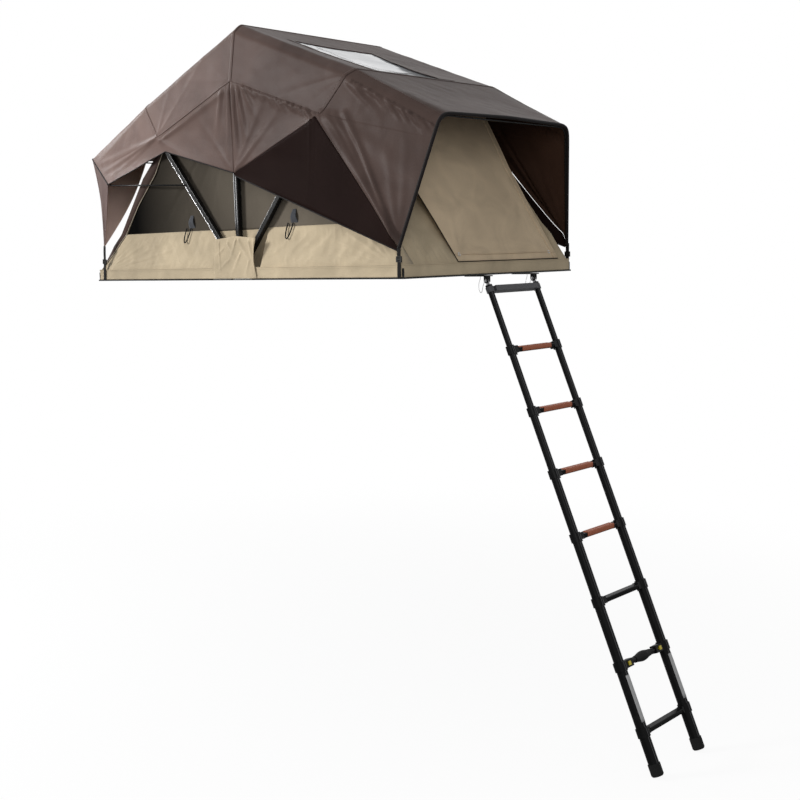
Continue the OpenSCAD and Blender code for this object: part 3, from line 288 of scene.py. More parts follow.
# %% [markdown]
# ## Finishes
# Two recipes cover nearly everything. Cloth takes its threads from the piece's own UV map, laid out in
# metres, so the weave follows the cloth; paint, metal and plastic take theirs from Object coordinates.
# A cloth's colour may also change from rear to front: painted light and shade, for the light that differs
# along the tent.

# %% Recipes
# Where the painted light and shade along the tent runs from and to, along X in metres.
PAINTED_LIGHT_REAR_X, PAINTED_LIGHT_FRONT_X = -0.3, 0.9


def blank(name):
    mat = bpy.data.materials.new(name)
    mat.use_nodes = True
    return mat, mat.node_tree, mat.node_tree.nodes["Principled BSDF"]


def use(tree, effect, **inputs):
    inputs = {label.replace("_", " "): value for label, value in inputs.items()}
    return node(tree, "ShaderNodeGroup", inputs, node_tree=effect).outputs


def bump(tree, height, distance, strength, **before):
    inputs = {"Height": height, "Distance": distance, "Strength": strength, **before}
    return node(tree, "ShaderNodeBump", inputs).outputs["Normal"]


def shade(colour, factor):
    return tuple(c * factor for c in colour)


def cloth_finish(name, colour, threads, rough, crease, depth, sheen, shine=0.1, tone=(1, 1)):
    """Woven cloth with painted shade in its creases; tone multiplies its colour at the rear and at the
    front of the tent, as painted light and shade.
    """
    mat, tree, bsdf = blank(name)
    uv = node(tree, "ShaderNodeUVMap", uv_map="cloth").outputs["UV"]
    place = node(tree, "ShaderNodeTexCoord").outputs["Object"]
    threads = use(tree, weave, Vector=uv, Threads_per_metre=float(threads))
    folds = use(tree, creases, Vector=place, Scale=crease)
    # Painted shade: darker in the hollows of the creases and, with random flecks, between the threads.
    base = two_tones(tree, folds["Tone and painted shade"], shade(colour, 0.88), shade(colour, 1.12))
    flecks_and_shade = two_tones(tree, threads["Tone and painted shade"], grey(0.72), grey(1.12), 0.3, 0.9)
    inputs = {"Factor": 0.5, "A": base, "B": flecks_and_shade}
    woven = node(tree, "ShaderNodeMix", inputs, data_type="RGBA", blend_type="MULTIPLY").outputs["Result"]
    # Painted light and shade along the tent: the colour is multiplied by tone[0] at the rear and tone[1] at
    # the front.
    along = node(tree, "ShaderNodeSeparateXYZ", {0: place}).outputs["X"]
    span = {"From Min": PAINTED_LIGHT_REAR_X, "From Max": PAINTED_LIGHT_FRONT_X, "To Min": tone[0], "To Max": tone[1]}
    factor = node(tree, "ShaderNodeMapRange", {"Value": along, **span}).outputs["Result"]
    painted_light_toned = node(tree, "ShaderNodeVectorMath", {0: woven, "Scale": factor}, operation="SCALE")
    soft = bump(tree, folds["Height"], depth, 0.55)
    fine = bump(tree, threads["Height"], 0.0003, 0.25, Normal=soft)
    looks = {"Roughness": rough, "Sheen Weight": sheen, "Specular IOR Level": shine, "Normal": fine}
    fill(tree, bsdf, {"Base Color": painted_light_toned.outputs["Vector"], **looks})
    return mat


def hard_finish(name, colour, rough, metal, worn, scale, grain=0.0002, shine=0.5):
    """Paint, metal or plastic, with a second colour and a duller surface where it is worn."""
    mat, tree, bsdf = blank(name)
    place = node(tree, "ShaderNodeTexCoord").outputs["Object"]
    marks = use(tree, scuffs, Vector=place, Scale=scale)
    base = two_tones(tree, marks["Mask"], colour, worn, 0.0, 1.0)
    span = {"Value": marks["Mask"], "To Min": rough * 0.85, "To Max": min(1.0, rough * 1.35)}
    dull = node(tree, "ShaderNodeMapRange", span).outputs["Result"]
    looks = {"Roughness": dull, "Metallic": metal, "Specular IOR Level": shine}
    fill(tree, bsdf, {"Base Color": base, "Normal": bump(tree, marks["Grain"], grain, 0.3), **looks})
    return mat


print("recipes: cloth and hard")

# %% [markdown]
# Each finish is then one line: its colour, how fine it is, how rough, and how deep its creases or grain
# are. The ladder's tubes and the clear film of the skylight need a little more: painted highlights and a
# painted reflection.

# %% Finishes
FLY = (0.067, 0.0455, 0.0395)
BEIGE = (0.500, 0.410, 0.280)
# The fly's tone is painted light: 2.3 times its colour at the rear and 1.15 at the front, a painted
# highlight for the sheen the lamps give it.
fly_cloth = cloth_finish("fly_cloth", FLY, 700, 0.40, 5.0, 0.005, 0.0, 0.045, (2.3, 1.15))
fly_lining = cloth_finish("fly_lining", (0.064, 0.033, 0.022), 700, 0.7, 4.0, 0.005, 0.0)
# The gussets' finish is painted shade: the fly's cloth painted nearly black, for they lean in under the
# shoulder.
gusset_painted_shade = cloth_finish("gusset_painted_shade", (0.0150, 0.0085, 0.0075), 700, 0.6, 4.0, 0.004, 0.0, 0.01)
curtain_cloth = cloth_finish("curtain_cloth", (0.105, 0.071, 0.064), 700, 0.6, 4.0, 0.005, 0.0, 0.08)
# The curtains' lining is painted light: far paler than the cloth, for the light that comes through onto
# their shaded inside.
curtain_lining_painted_light = cloth_finish("curtain_lining_painted_light", (0.63, 0.475, 0.43), 700, 0.7, 4.0, 0.005, 0.0, 0.05)
strip_cloth = cloth_finish("strip_cloth", (0.050, 0.032, 0.027), 700, 0.6, 4.0, 0.003, 0.0, 0.05)
# The canvas's tone is painted shade: 0.74 of its colour at the rear, 1.03 at the front.
canvas = cloth_finish("canvas", BEIGE, 800, 0.85, 6.0, 0.007, 0.1, 0.1, (0.74, 1.03))
# The door's canvas is the walls' canvas painted lighter and warmer: painted light, for the door stands in
# the awning's shade.
door_painted_light = cloth_finish("door_canvas_painted_light", (0.640, 0.505, 0.345), 800, 0.85, 6.0, 0.007, 0.1)
MESH = (0.108, 0.092, 0.072)
# The mesh's tone is a painted shadow of the fly: black at the rear, 1.28 times its colour at the front.
mesh_cloth = cloth_finish("window_mesh", MESH, 420, 0.8, 3.0, 0.006, 0.0, 0.03, (0.0, 1.28))
tab_cloth = cloth_finish("tab_cloth", (0.055, 0.058, 0.066), 500, 0.85, 20.0, 0.001, 0.1)
pad_cover = cloth_finish("pad_cover", (0.42, 0.40, 0.36), 700, 0.9, 6.0, 0.004, 0.2)
webbing = cloth_finish("webbing", (0.010, 0.0095, 0.0095), 500, 0.8, 20.0, 0.001, 0.05)
binding = cloth_finish("edge_binding", (0.010, 0.008, 0.008), 600, 0.6, 20.0, 0.001, 0.05)
piping = cloth_finish("pale_piping", (0.36, 0.31, 0.24), 600, 0.8, 20.0, 0.001, 0.1)
thread = cloth_finish("seam_thread", (0.10, 0.08, 0.072), 1500, 0.8, 40.0, 0.0005, 0.05)

ANODISED, RED, YELLOW = (0.005, 0.005, 0.0052), (0.40, 0.125, 0.065), (0.62, 0.50, 0.02)
PLASTIC, WORN_PLASTIC = (0.075, 0.075, 0.08), (0.10, 0.10, 0.105)
black_paint = hard_finish("black_paint", grey(0.005), 0.30, 0.0, grey(0.008), 18, 0.0001, 0.22)
ladder_black = hard_finish("ladder_anodised", ANODISED, 0.32, 0.0, grey(0.008), 24, 0.0001, 0.08)
bright_metal = hard_finish("bright_metal", (0.55, 0.55, 0.56), 0.34, 1.0, (0.42, 0.42, 0.43), 40)
zinc = hard_finish("zinc_plate", (0.50, 0.50, 0.49), 0.42, 1.0, (0.36, 0.36, 0.35), 60)
panel_skin = hard_finish("panel_skin", (0.10, 0.10, 0.105), 0.6, 0.0, grey(0.14), 12, 0.0004, 0.2)
step_plastic = hard_finish("step_plastic", PLASTIC, 0.5, 0.0, WORN_PLASTIC, 40, 0.0003, 0.2)
tread_red = hard_finish("tread_red", RED, 0.5, 0.0, (0.46, 0.17, 0.10), 30, 0.0003, 0.2)
black_plastic = hard_finish("black_plastic", grey(0.008), 0.5, 0.0, grey(0.014), 50, 0.0003, 0.2)
rubber = hard_finish("black_rubber", grey(0.008), 0.75, 0.0, grey(0.014), 40, 0.0004, 0.15)
tab_yellow = hard_finish("tab_yellow", YELLOW, 0.35, 0.0, (0.55, 0.42, 0.03), 60)
strip_grey = hard_finish("strip_grey", grey(0.42), 0.5, 0.0, grey(0.36), 40)

# The ladder's tubes get painted highlights: thin lighter lines along the front, two on each stile
LADDER_PIN_X, LADDER_Y, STILE = 1192, 72, 178.5
HIGHLIGHT_OFF, HIGHLIGHT_HALF = 0.0065, 0.0011
tree = ladder_black.node_tree
bsdf = tree.nodes["Principled BSDF"]
place = node(tree, "ShaderNodeTexCoord").outputs["Object"]
over = node(tree, "ShaderNodeSeparateXYZ", {0: place}).outputs["Y"]
for middle in (LADDER_Y / 1000, STILE / 1000):
    over = maths(tree, "ABSOLUTE", maths(tree, "SUBTRACT", over, middle))
highlight_line = maths(tree, "COMPARE", over, HIGHLIGHT_OFF, HIGHLIGHT_HALF)
bare = bsdf.inputs["Base Color"].links[0].from_socket
shining = {"Factor": highlight_line, "A": bare, "B": (0.11, 0.11, 0.115, 1)}
highlighted_tube = node(tree, "ShaderNodeMix", shining, data_type="RGBA")
fill(tree, bsdf, {"Base Color": highlighted_tube.outputs["Result"]})

# The clear film is painted pale grey to white: a painted reflection of the bright sky, with painted shade
# in the low parts of its ripples.
film, tree, bsdf = blank("skylight_film")
place = node(tree, "ShaderNodeTexCoord").outputs["Object"]
ripple = use(tree, creases, Vector=place, Scale=3.5)
painted_sky_reflection = two_tones(tree, ripple["Tone and painted shade"], (0.66, 0.68, 0.71), (0.94, 0.95, 0.97))
looks = {"Roughness": 0.12, "Coat Weight": 0.3, "Normal": bump(tree, ripple["Height"], 0.010, 0.6)}
fill(tree, bsdf, {"Base Color": painted_sky_reflection, **looks})
print("finishes:", len(bpy.data.materials))

# %% [markdown]
# ## Rigid pieces
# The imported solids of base, hinge, bows and ladder already have the right shape. They stay as they
# are and only change their finish.

# %% Rigid pieces
RIGID = {
    bright_metal: ["mounting_rails", "link_arms", "bracket_pins"],
    panel_skin: ["rear_board", "front_board"],
    black_paint: [
        *("rear_edge_frame", "front_edge_frame", "ladder_brackets"),
    *("rear_awning_rods", "front_awning_hoop"),
        *(f"{bow}_bow_{part}" for bow in ("rear", "middle", "front") for part in ("legs", "arch")),
    ],
    zinc: ["rear_hinge_plates", "front_hinge_plates", "fold_bolts", "front_bow_bolts"],
    ladder_black: [f"ladder_section_{k}" for k in range(1, 8)],
    step_plastic: ["top_step"],
    tread_red: [f"rung_tread_{k}" for k in range(1, 5)],
    black_plastic: [f"latch_buttons_{k}" for k in range(1, 6)] + ["rear_buckles", "front_buckles"],
    tab_yellow: ["release_left", "release_right"],
    rubber: ["carry_grip", "ladder_feet"],
}
for finish, names in RIGID.items():
    for name in names:
        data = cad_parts[name].data
        data.materials.clear()
        data.materials.append(finish)
print("painted nodes:", sum(len(v) for v in RIGID.values()))

# %% [markdown]
# ## Lanyards
# Each ladder pin is kept by a thin wire: out from under its bracket, round in a hanging loop and up to
# the pin's head. A curve with a round bevel is the natural way to make a wire, and its points are the
# ones that the solid follows.

# %% Lanyards
LANYARD = [
    (-24, -18, -5.2), (-24, -19, -14), (-26, -22, -26), (-28, -25, -40), (-28, -26, -54), (-26, -26, -66),
    (-21, -26, -75), (-15, -26, -79), (-11, -26, -76), (-9, -25, -68), (-7, -24, -57), (-5, -23, -46),
    (-2, -21, -36), (0, -18, -28), (0, -15, -25), (0, -12.7, -24),
]
WIRE = 0.0024
for side, label in zip(SIDES, ("near", "far")):
    route = np.array(LANYARD) + [LADDER_PIN_X, LADDER_Y + side * STILE, 0]
    data = bpy.data.curves.new(f"pin_lanyard_{label}", "CURVE")
    data.dimensions = "3D"
    data.bevel_depth = WIRE / 2
    data.bevel_resolution = 3
    data.use_fill_caps = True
    spline = data.splines.new("POLY")
    spline.points.add(len(route) - 1)
    for p, at in zip(spline.points, metres(route)):
        p.co = (*at, 1)
    data.materials.append(bright_metal)
    line = added(data.name, data)
    long = float(np.linalg.norm(np.diff(route, axis=0), axis=1).sum()) / 1000
    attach(line, "front_base")
    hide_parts("pin_lanyards")
    metres(route[0])
    print(line.name, "length", round(long, 4))

# %% [markdown]
# ## Cloth from a grid of points
# A tent's cloth is cut flat, sewn along its seams and pulled between poles and anchors, so each panel
# is a grid between its own edges. One helper turns a grid into a mesh with a UV map in metres, and a
# Solidify modifier gives it the thickness of the real cloth.

# %% Grids
CLOTH = 1.5


def toward(a, b, t):
    return np.asarray(a, float) + (np.asarray(b, float) - a) * t


def spread(a, b, count, end=False):
    """Rows or points from a to b."""
    return [toward(a, b, t) for t in np.linspace(0, 1, count, endpoint=end)]


def mirrored(points, axis):
    out = np.array(points, float)
    out[..., axis] *= -1
    return out


def on_side(points, side):
    """What is drawn for the near side, on the near or the far side."""
    return points if side < 0 else mirrored(points, 1)


def bell(u):
    """Rises from 0 to 1 and falls back to 0 as u runs from 0 to 1."""
    return np.sin(np.pi * np.clip(u, 0, 1))


def arch(rows, cols):
    """A bell both ways over a grid."""
    return np.outer(bell(np.linspace(0, 1, rows)), bell(np.linspace(0, 1, cols)))


def grid_normals(g):
    c = np.cross(np.gradient(g, axis=0), np.gradient(g, axis=1))
    return c / np.maximum(np.linalg.norm(c, axis=2, keepdims=True), 1e-9)


def ripple_noise(g, size, seed, stretch=(1, 1, 1)):
    """Smooth noise from -1 to 1 at each point of a grid; size is in millimetres."""
    points = (g / size * np.array(stretch) + [seed, -seed, 2 * seed]).reshape(-1, 3)
    return np.array([noise.noise(Vector(p)) for p in points]).reshape(g.shape[:2])


class Panels:
    """Collects grids of cloth, then makes them one piece."""

    def __init__(self):
        self.points, self.uvs, self.faces = [], [], []

    def add(self, g, keep=None, flip=False):
        g = np.asarray(g, float)
        rows, cols = g.shape[:2]
        start = sum(len(p) for p in self.points)
        du = np.linalg.norm(np.diff(g, axis=1), axis=2).mean(0)
        dv = np.linalg.norm(np.diff(g, axis=0), axis=2).mean(1)
        u, v = (np.concatenate([[0], np.cumsum(d)]) / 1000 for d in (du, dv))
        self.points.append(metres(g.reshape(-1, 3)))
        self.uvs.append(np.stack(np.meshgrid(u, v), -1).reshape(-1, 2))
        for i in range(rows - 1):
            for j in range(cols - 1):
                if keep is None or keep[i, j]:
                    a = start + i * cols + j
                    quad = (a, a + cols, a + cols + 1, a + 1)
                    self.faces.append(quad[::-1] if flip else quad)
        return self

    def add_tube(self, points, radius, sides=8, wide=1.0):
        """A round or flattened tube along the points, closed at its ends."""
        p = np.asarray(points, float)
        way = np.gradient(p, axis=0)
        way /= np.maximum(np.linalg.norm(way, axis=1, keepdims=True), 1e-9)
        turn = np.linspace(0, 2 * math.pi, sides + 1)
        rings = []
        lift = np.array([0.0, 0.0, 1.0])
        for at, t in zip(p, way):
            a = np.cross(t, lift)
            if np.linalg.norm(a) < 0.05:
                a = np.cross(t, [0, 1, 0])
            a /= np.linalg.norm(a)
            lift = np.cross(a, t)
            rings.append([at + radius * (math.cos(w) * a + wide * math.sin(w) * lift) for w in turn])
        self.add(rings)
        for end, flip in ((0, True), (-1, False)):
            cap = np.stack([rings[end], np.repeat(p[end][None], sides + 1, 0)])
            self.add(cap, flip=flip)
        return self

    def piece(self, name, finishes, thickness=CLOTH):
        points, uvs = np.concatenate(self.points), np.concatenate(self.uvs)
        used = sorted({k for f in self.faces for k in f})
        index = {k: i for i, k in enumerate(used)}
        data = bpy.data.meshes.new(name)
        faces = [[index[k] for k in f] for f in self.faces]
        data.from_pydata([tuple(points[k]) for k in used], [], faces)
        layer = data.uv_layers.new(name="cloth")
        flat = np.array([uvs[k] for f in self.faces for k in f], np.float32)
        layer.data.foreach_set("uv", flat.ravel())
        data.polygons.foreach_set("use_smooth", [True] * len(data.polygons))
        for finish in finishes:
            data.materials.append(finish)
        work = bmesh.new()
        work.from_mesh(data)
        bmesh.ops.remove_doubles(work, verts=work.verts, dist=1e-5)
        work.to_mesh(data)
        work.free()
        data.update()
        obj = added(name, data)
        if thickness:
            wall = obj.modifiers.new("thickness", "SOLIDIFY")
            wall.thickness = thickness / 1000
            wall.offset = 0
            wall.material_offset = len(finishes) - 1
        obj["cloth_area"] = sum(p.area for p in data.polygons)
        return obj


print("cloth thickness", CLOTH, "mm")

# %% [markdown]
# When the tent folds, its cloth flattens towards the base, the fly higher up than the low walls; here
# the cloth and its trim only ride with the half of the base that they are sewn to. A finished sheet also
# stands for its solid, which it hides, and prints the area of its cloth.

# %% What a piece says of itself
FLAT_FLY, FLAT_WALL, STAYS = (0.122, 0.03), (0.055, 0.08), None


def trim(obj, body, flat=FLAT_FLY):
    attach(obj, body)
    if flat:
        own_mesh(obj)
    return obj


def declare(obj, solid, body, flat=FLAT_FLY):
    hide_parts(solid)
    area = obj["cloth_area"]
    print(obj.name, "cut area", round(area, 3), "m2")
    return trim(obj, body, flat)


print("cloth flattens to", FLAT_FLY[1], "and", FLAT_WALL[1], "of its height")

# %% [markdown]
# ## The flysheet
# The fly is stretched over three bows like a skin over ribs. Its hem, its shoulder seam and its top
# corners are known on every bow, so each bow gives one row of points, and the cloth runs straight from
# row to row. A row is drawn for the near half, its corners are rounded, and its mirror image completes it.

# %% Rows of the fly
LEAN = math.radians(41)
BOW_X, BOW_Z, MIDDLE_Z = 78, 125, 165  # where the outer bows and the middle bow are bolted


def on_rear_bow(r, y):
    return np.array([-BOW_X - r * math.sin(LEAN), y, BOW_Z + r * math.cos(LEAN)])


SHOULDER_Y, SHOULDER_R, TOP_R = 575.0, 819, 1069.3
CORNER_Y, CORNER_R, CREST_Y = 542.2, 1031.9, 497.8
REAR_HEM_R, FRONT_HEM_R, FRONT_HEM_OUT = 715, 805, 17
REAR_ANCHOR = np.array([-1075, -624.25, 182])
FRONT_ANCHOR = np.array([1131, -624.25, 133])
ROD_CORNER = np.array([-1083, -SHOULDER_Y, 527])
EAVE = np.array([-1355.0, -490, 689])
RIM = np.array([1250.0, -468, 700])
MIDDLE_ROW = np.array([
    (0, -SHOULDER_Y, 520), (0, -578, 960), (0, -CORNER_Y, MIDDLE_Z + CORNER_R),
    (0, -CREST_Y, MIDDLE_Z + TOP_R), (0, 0, MIDDLE_Z + TOP_R),
])
BOW_STOPS = (
    (REAR_HEM_R, SHOULDER_Y), (SHOULDER_R, SHOULDER_Y), (CORNER_R, CORNER_Y), (TOP_R, CREST_Y), (TOP_R, 0),
)
REAR_ROW = np.array([on_rear_bow(r, -y) for r, y in BOW_STOPS])
FRONT_ROW = mirrored([on_rear_bow(FRONT_HEM_R, -SHOULDER_Y - FRONT_HEM_OUT), *REAR_ROW[1:]], 0)
REAR_END = np.array([*(toward(ROD_CORNER, EAVE, t) for t in (0, 0.6, 0.8)), EAVE, (-1370, 0, 697)])
FRONT_END = np.array([*(toward(FRONT_ANCHOR, RIM, t) for t in (0, 0.8, 0.92)), RIM, (1258, 0, 708)])
COUNTS, CUTS, BEND = (44, 22, 8, 40), (7, 14, 16), 5


def rounded(a, b, c, count, end=False):
    """Points on the curve that leaves a towards b and arrives at c from b."""
    steps = np.linspace(0, 1, count, endpoint=end)
    return [toward(toward(a, b, t), toward(b, c, t), t) for t in steps]


def rounded_row(points):
    p = np.asarray(points, float)
    legs = np.diff(p, axis=0)
    long = np.linalg.norm(legs, axis=1)
    way = legs / long[:, None]
    out = []
    for k, count in enumerate(COUNTS):
        cut_in = min(CUTS[k - 1], 0.4 * long[k]) if k else 0
        cut_out = min(CUTS[k], 0.4 * long[k]) if k < 3 else 0
        stop = p[k + 1] - way[k] * cut_out
        out += spread(p[k] + way[k] * cut_in, stop, count)
        if k < 3:
            far = p[k + 1] + way[k + 1] * min(CUTS[k], 0.4 * long[k + 1])
            out += rounded(stop, p[k + 1], far, BEND)
    half = np.array(out + [p[-1]])
    return np.concatenate([half, mirrored(half[-2::-1], 1)])


COLS = len(rounded_row(MIDDLE_ROW))
MID, SEAM, CREST = COLS // 2, COUNTS[0] + 2, sum(COUNTS[:3]) + 2 * BEND + 2
BAY = 60
from_edge = np.minimum(np.arange(COLS), COLS - 1 - np.arange(COLS))
SIDE = np.clip(from_edge / SEAM, 0, 1)
ROOF = np.sin(np.pi / 2 * np.clip((from_edge - CREST) / (MID - CREST), 0, 1)) ** 0.8
print("points across the fly:", COLS)

# %% [markdown]
# Between two rows the cloth is drawn in at the sides and dips on the roof. A simulation would give folds
# by chance; a sewn tent has them where its seams are gathered and its corners pulled. So a fold here is
# a line from one point to another with a width, a height and the share of its height left at the end.

# %% Bays and folds
chance = np.random.default_rng(11)


def softened(line, reach):
    """Rounds a row's top corners further; its hems stay where they are."""
    s = np.concatenate([[0], np.cumsum(np.linalg.norm(np.diff(line, axis=0), axis=1))])
    w = np.exp(-((s[:, None] - s) / reach) ** 2) * np.gradient(s)
    smooth = w @ line / w.sum(1, keepdims=True)
    return line + (smooth - line) * np.clip(from_edge / 10 - 2, 0, 1)[:, None]


def bay(row_a, row_b, draw, dip, last=False, soft=1.0):
    """The cloth between two rows: its sides drawn in and its roof dipping, in millimetres."""
    rows = spread(rounded_row(row_a), softened(rounded_row(row_b), soft), BAY + last, end=last)
    g = np.array(rows)
    slack = np.sin(np.pi * np.arange(len(g)) / BAY)[:, None]
    g[..., 1] -= np.sign(g[..., 1]) * draw * slack * np.sin(np.pi * SIDE)
    g[..., 2] -= dip * slack * ROOF
    return g


def run(start, stop, wide, high, tail=0.6):
    """One fold from start to stop."""
    return [(np.asarray(start, float), np.asarray(stop, float), wide, high, tail)]


def fan(start, ends, wide, high, tail=0.4):
    """Folds that run out from one point."""
    out = []
    for end in ends:
        out += run(start, end, wide, high * chance.uniform(0.6, 1.2), tail)
    return out


def gathers(a, b, count, way, wide, high):
    """Short folds that hang from a gathered seam."""
    out = []
    for k in range(count):
        start = toward(a, b, (k + chance.uniform(0.2, 0.8)) / count)
        end = start + np.asarray(way) * chance.uniform(0.5, 1.3) + [chance.uniform(-14, 14), 0, 0]
        out += run(start, end, wide * chance.uniform(0.7, 1.2), high * chance.uniform(0.5, 1.2), 0.0)
    return out


def ridges(g, folds):
    """Height of all folds over a grid, seen along its second axis."""
    flat = g[..., [0, 2]]
    lift = np.zeros(g.shape[:2])
    for start, stop, wide, high, tail in folds:
        a, way = start[[0, 2]], (stop - start)[[0, 2]]
        t = np.clip((flat - a) @ way / (way @ way), 0, 1)
        off = np.linalg.norm(flat - a - t[..., None] * way, axis=-1) / (wide * (0.45 + 0.55 * t))
        lift += high * np.exp(-off ** 2) * np.clip(8 * t + 0.2, 0, 1) * (1 - (1 - tail) * t)
    return lift


def folded(g, folds, rim_first):
    """Raises the folds out of the two sides, not out of the roof or the two end rows."""
    side = np.clip((np.abs(g[..., 1]) - 430) / 40, 0, 1)
    steps = np.arange(len(g))
    rim, bow = (steps, steps[::-1]) if rim_first else (steps[::-1], steps)
    held = np.clip(rim / 5, 0, 1) * np.clip(bow / 2, 0, 1)
    return g + grid_normals(g) * (ridges(g, folds) * side * held[:, None])[..., None]


def uneven(g, seed, amount=4.0):
    """Small unevenness of real cloth, nothing where it lies on a bow or ends in a seam."""
    rough = 0.7 * ripple_noise(g, 150, seed) + 0.3 * ripple_noise(g, 55, seed + 7)
    rough *= np.sin(np.pi * (np.arange(len(g)) % BAY) / BAY)[:, None] ** 0.6
    return g + grid_normals(g) * (rough * amount)[..., None]


def between(a, b, *shares):
    return [toward(a, b, t) for t in shares]


rear_hem, rear_sh, rear_top = REAR_ROW[:3]
mid_hem, mid_sh, mid_top = MIDDLE_ROW[:3]
front_sh, front_top = FRONT_ROW[1:3]
rear_folds = (
    run(mid_sh + [-16, 0, -18], mid_hem + [-34, 0, 80], 17, 15, 0.1)
    + run(mid_sh + [-62, 0, -30], mid_hem + [-150, 0, 130], 24, 10, 0.1)
    + run(rear_sh + [24, 0, -22], mid_sh + [-70, 0, -50], 20, 6, 0.7)
    + fan(rear_sh, between(rear_hem, mid_hem, 0.1, 0.34), 20, 6, 0.2)
    + fan(mid_hem, between(rear_sh, mid_sh, 0.5, 0.8), 20, 4, 0.3)
    + fan(rear_sh, between(ROD_CORNER, EAVE, 0.15, 0.4, 0.7), 18, 5, 0.2)
    + fan(rear_sh, between(mid_top, rear_top, 0.3, 0.7), 14, 3, 0.1)
    + fan(mid_sh, between(mid_top, rear_top, 0.35, 0.6), 16, 3, 0.1)
)
front_folds = (
    run(mid_sh + [12, 0, -12], mid_hem + [34, 0, 80], 16, 26, 0.1)
    + run(mid_sh + [52, 0, -24], mid_hem + [100, 0, 160], 16, 20, 0.1)
    + run(mid_sh + [96, 0, -36], mid_hem + [180, 0, 240], 16, 13, 0.1)
    + fan(mid_hem, between(mid_sh, front_sh, 0.4, 0.62), 22, 6, 0.3)
    + gathers(toward(mid_sh, front_sh, 0.12), front_sh, 20, (52, 0, -64), 9, 14)
    + fan(front_top, between(mid_sh, front_sh, 0.5, 0.85), 16, 3, 0.2)
    + fan(FRONT_ANCHOR, between(front_sh, RIM, 0.02, 0.07, 0.13, 0.22), 15, 15, 0.5)
    + fan(FRONT_ANCHOR, between(front_sh, RIM, 0.5, 0.72), 26, 6, 0.1)
    + run(front_sh, toward(FRONT_ANCHOR, RIM, 0.52), 46, 7, 0.2)
    + run(front_top + [6, 0, -24], toward(front_sh, RIM, 0.5), 18, 15, 0.1)
    + gathers(front_top + [24, 0, -20], FRONT_END[2] + [-24, 0, -4], 20, (64, 0, -84), 9, 15)
)
rear_bays = [bay(REAR_END, REAR_ROW, 5, 14), bay(REAR_ROW, MIDDLE_ROW, 9, 18, True)]
front_bays = [bay(MIDDLE_ROW, FRONT_ROW, 9, 18), bay(FRONT_ROW, FRONT_END, 12, 12, True, 45)]
rear_fly_grid = uneven(folded(np.concatenate(rear_bays), rear_folds, True), 3.1)
front_fly_grid = uneven(folded(np.concatenate(front_bays), front_folds, False), 8.7)
print("folds:", len(rear_folds) + len(front_folds), "grids:", rear_fly_grid.shape, front_fly_grid.shape)

# %% [markdown]
# The two grids become the two halves of the fly, brown outside and darker inside. The front half has a
# hole for the skylight.

# %% Fly panels
middle_y = rounded_row(MIDDLE_ROW)[:, 1]
SKY_NEAR, SKY_FAR = -358, 200
sky_cols = np.flatnonzero((middle_y > SKY_NEAR) & (middle_y < SKY_FAR))
SKY = (round(0.29 * BAY), BAY - 1, sky_cols[0], sky_cols[-1])
keep_front = np.ones((2 * BAY, COLS - 1), bool)
keep_front[SKY[0] : SKY[1], SKY[2] : SKY[3]] = False
FLY_PANELS = {"rear": (rear_fly_grid, None), "front": (front_fly_grid, keep_front)}
for half, (g, keep) in FLY_PANELS.items():
    fly = Panels().add(g, keep).piece(f"{half}_flysheet", [fly_cloth, fly_lining])
    declare(fly, f"{half}_fly", f"{half}_base")

# %% [markdown]
# ## Gussets and curtains
# Under the front shoulder a triangle of the same cloth closes the side down to a straight hem; its finish
# is painted nearly black, painted shade for its leaning in under the shoulder. Behind the rear awning two
# curtains run from the eave down to the rear anchors. Both are ruled between two
# lines, so they are grids too, with a few folds that die out at the sewn edges.

# %% Gussets and curtains
hem_line = np.array(spread(mid_hem + [6, 0, -14], FRONT_ANCHOR + [-14, 0, -12], 2 * BAY + 1, end=True))
seam_line = front_fly_grid[:, 0] + [-CLOTH, 0, -CLOTH - 0.3]
gusset = np.stack(spread(hem_line, seam_line, 19, end=True), 1)
u, v = np.linspace(0, 1, len(gusset))[:, None], np.linspace(0, 1, 19)
gusset[..., 1] += bell(u) * bell(v) * (9 + 3 * np.sin(2 * np.pi * (2.2 * u + 0.8 * v)))
gussets = Panels().add(gusset).add(mirrored(gusset, 1), flip=True).piece("side_gussets", [gusset_painted_shade])
declare(gussets, "front_fly", "front_base")

eave = rear_fly_grid[0, : MID - 8 : 2] + [-1.5, 0, -5]
v = np.linspace(0, 1, len(eave))[:, None]
foot_line = REAR_ANCHOR + np.concatenate([-16 * v, 6 * v * v, 0 * v], 1)
curtain = np.stack(spread(eave, foot_line, 40, end=True), 1)
hangs = bell(np.linspace(0, 1, 40))
waves = np.sin(2 * np.pi * 3.2 * v + 0.6) * (0.4 + 0.6 * v)
curtain[..., 0] += hangs * (30 * v + 12 * waves)
curtain[..., 1] += hangs * 5 * np.sin(2 * np.pi * 2.1 * v)
curtains = Panels().add(curtain).add(mirrored(curtain, 1), flip=True)
# The inside of the curtains is painted light.
curtains = curtains.piece("rear_curtains", [curtain_cloth, curtain_lining_painted_light])
declare(curtains, "rear_corner_flaps", "rear_base")

# %% [markdown]
# ## Edges and rods
# A tube swept along a line makes the bound hems and the sleeve of the entrance hoop, and the spring rods
# that hold both awnings out. It is swept as a mesh and not as a curve.

# %% Edges and rods
SLEEVE, HEM_CORD, ROD = 8.0, 3.0, 4.0
rear_trim, front_trim = Panels(), Panels()
for side in SIDES:
    rear_trim.add_tube(on_side(rear_fly_grid[:, 0], side), HEM_CORD)
    front_trim.add_tube(on_side(gusset[:, 0], side), HEM_CORD)
rear_trim.add_tube(rear_fly_grid[0], HEM_CORD + 1)
front_trim.add_tube(front_fly_grid[-1] + [-4, 0, -3], SLEEVE)
trim(rear_trim.piece("rear_bound_hem", [binding], 0), "rear_base")
trim(front_trim.piece("front_bound_hem", [binding], 0), "front_base")


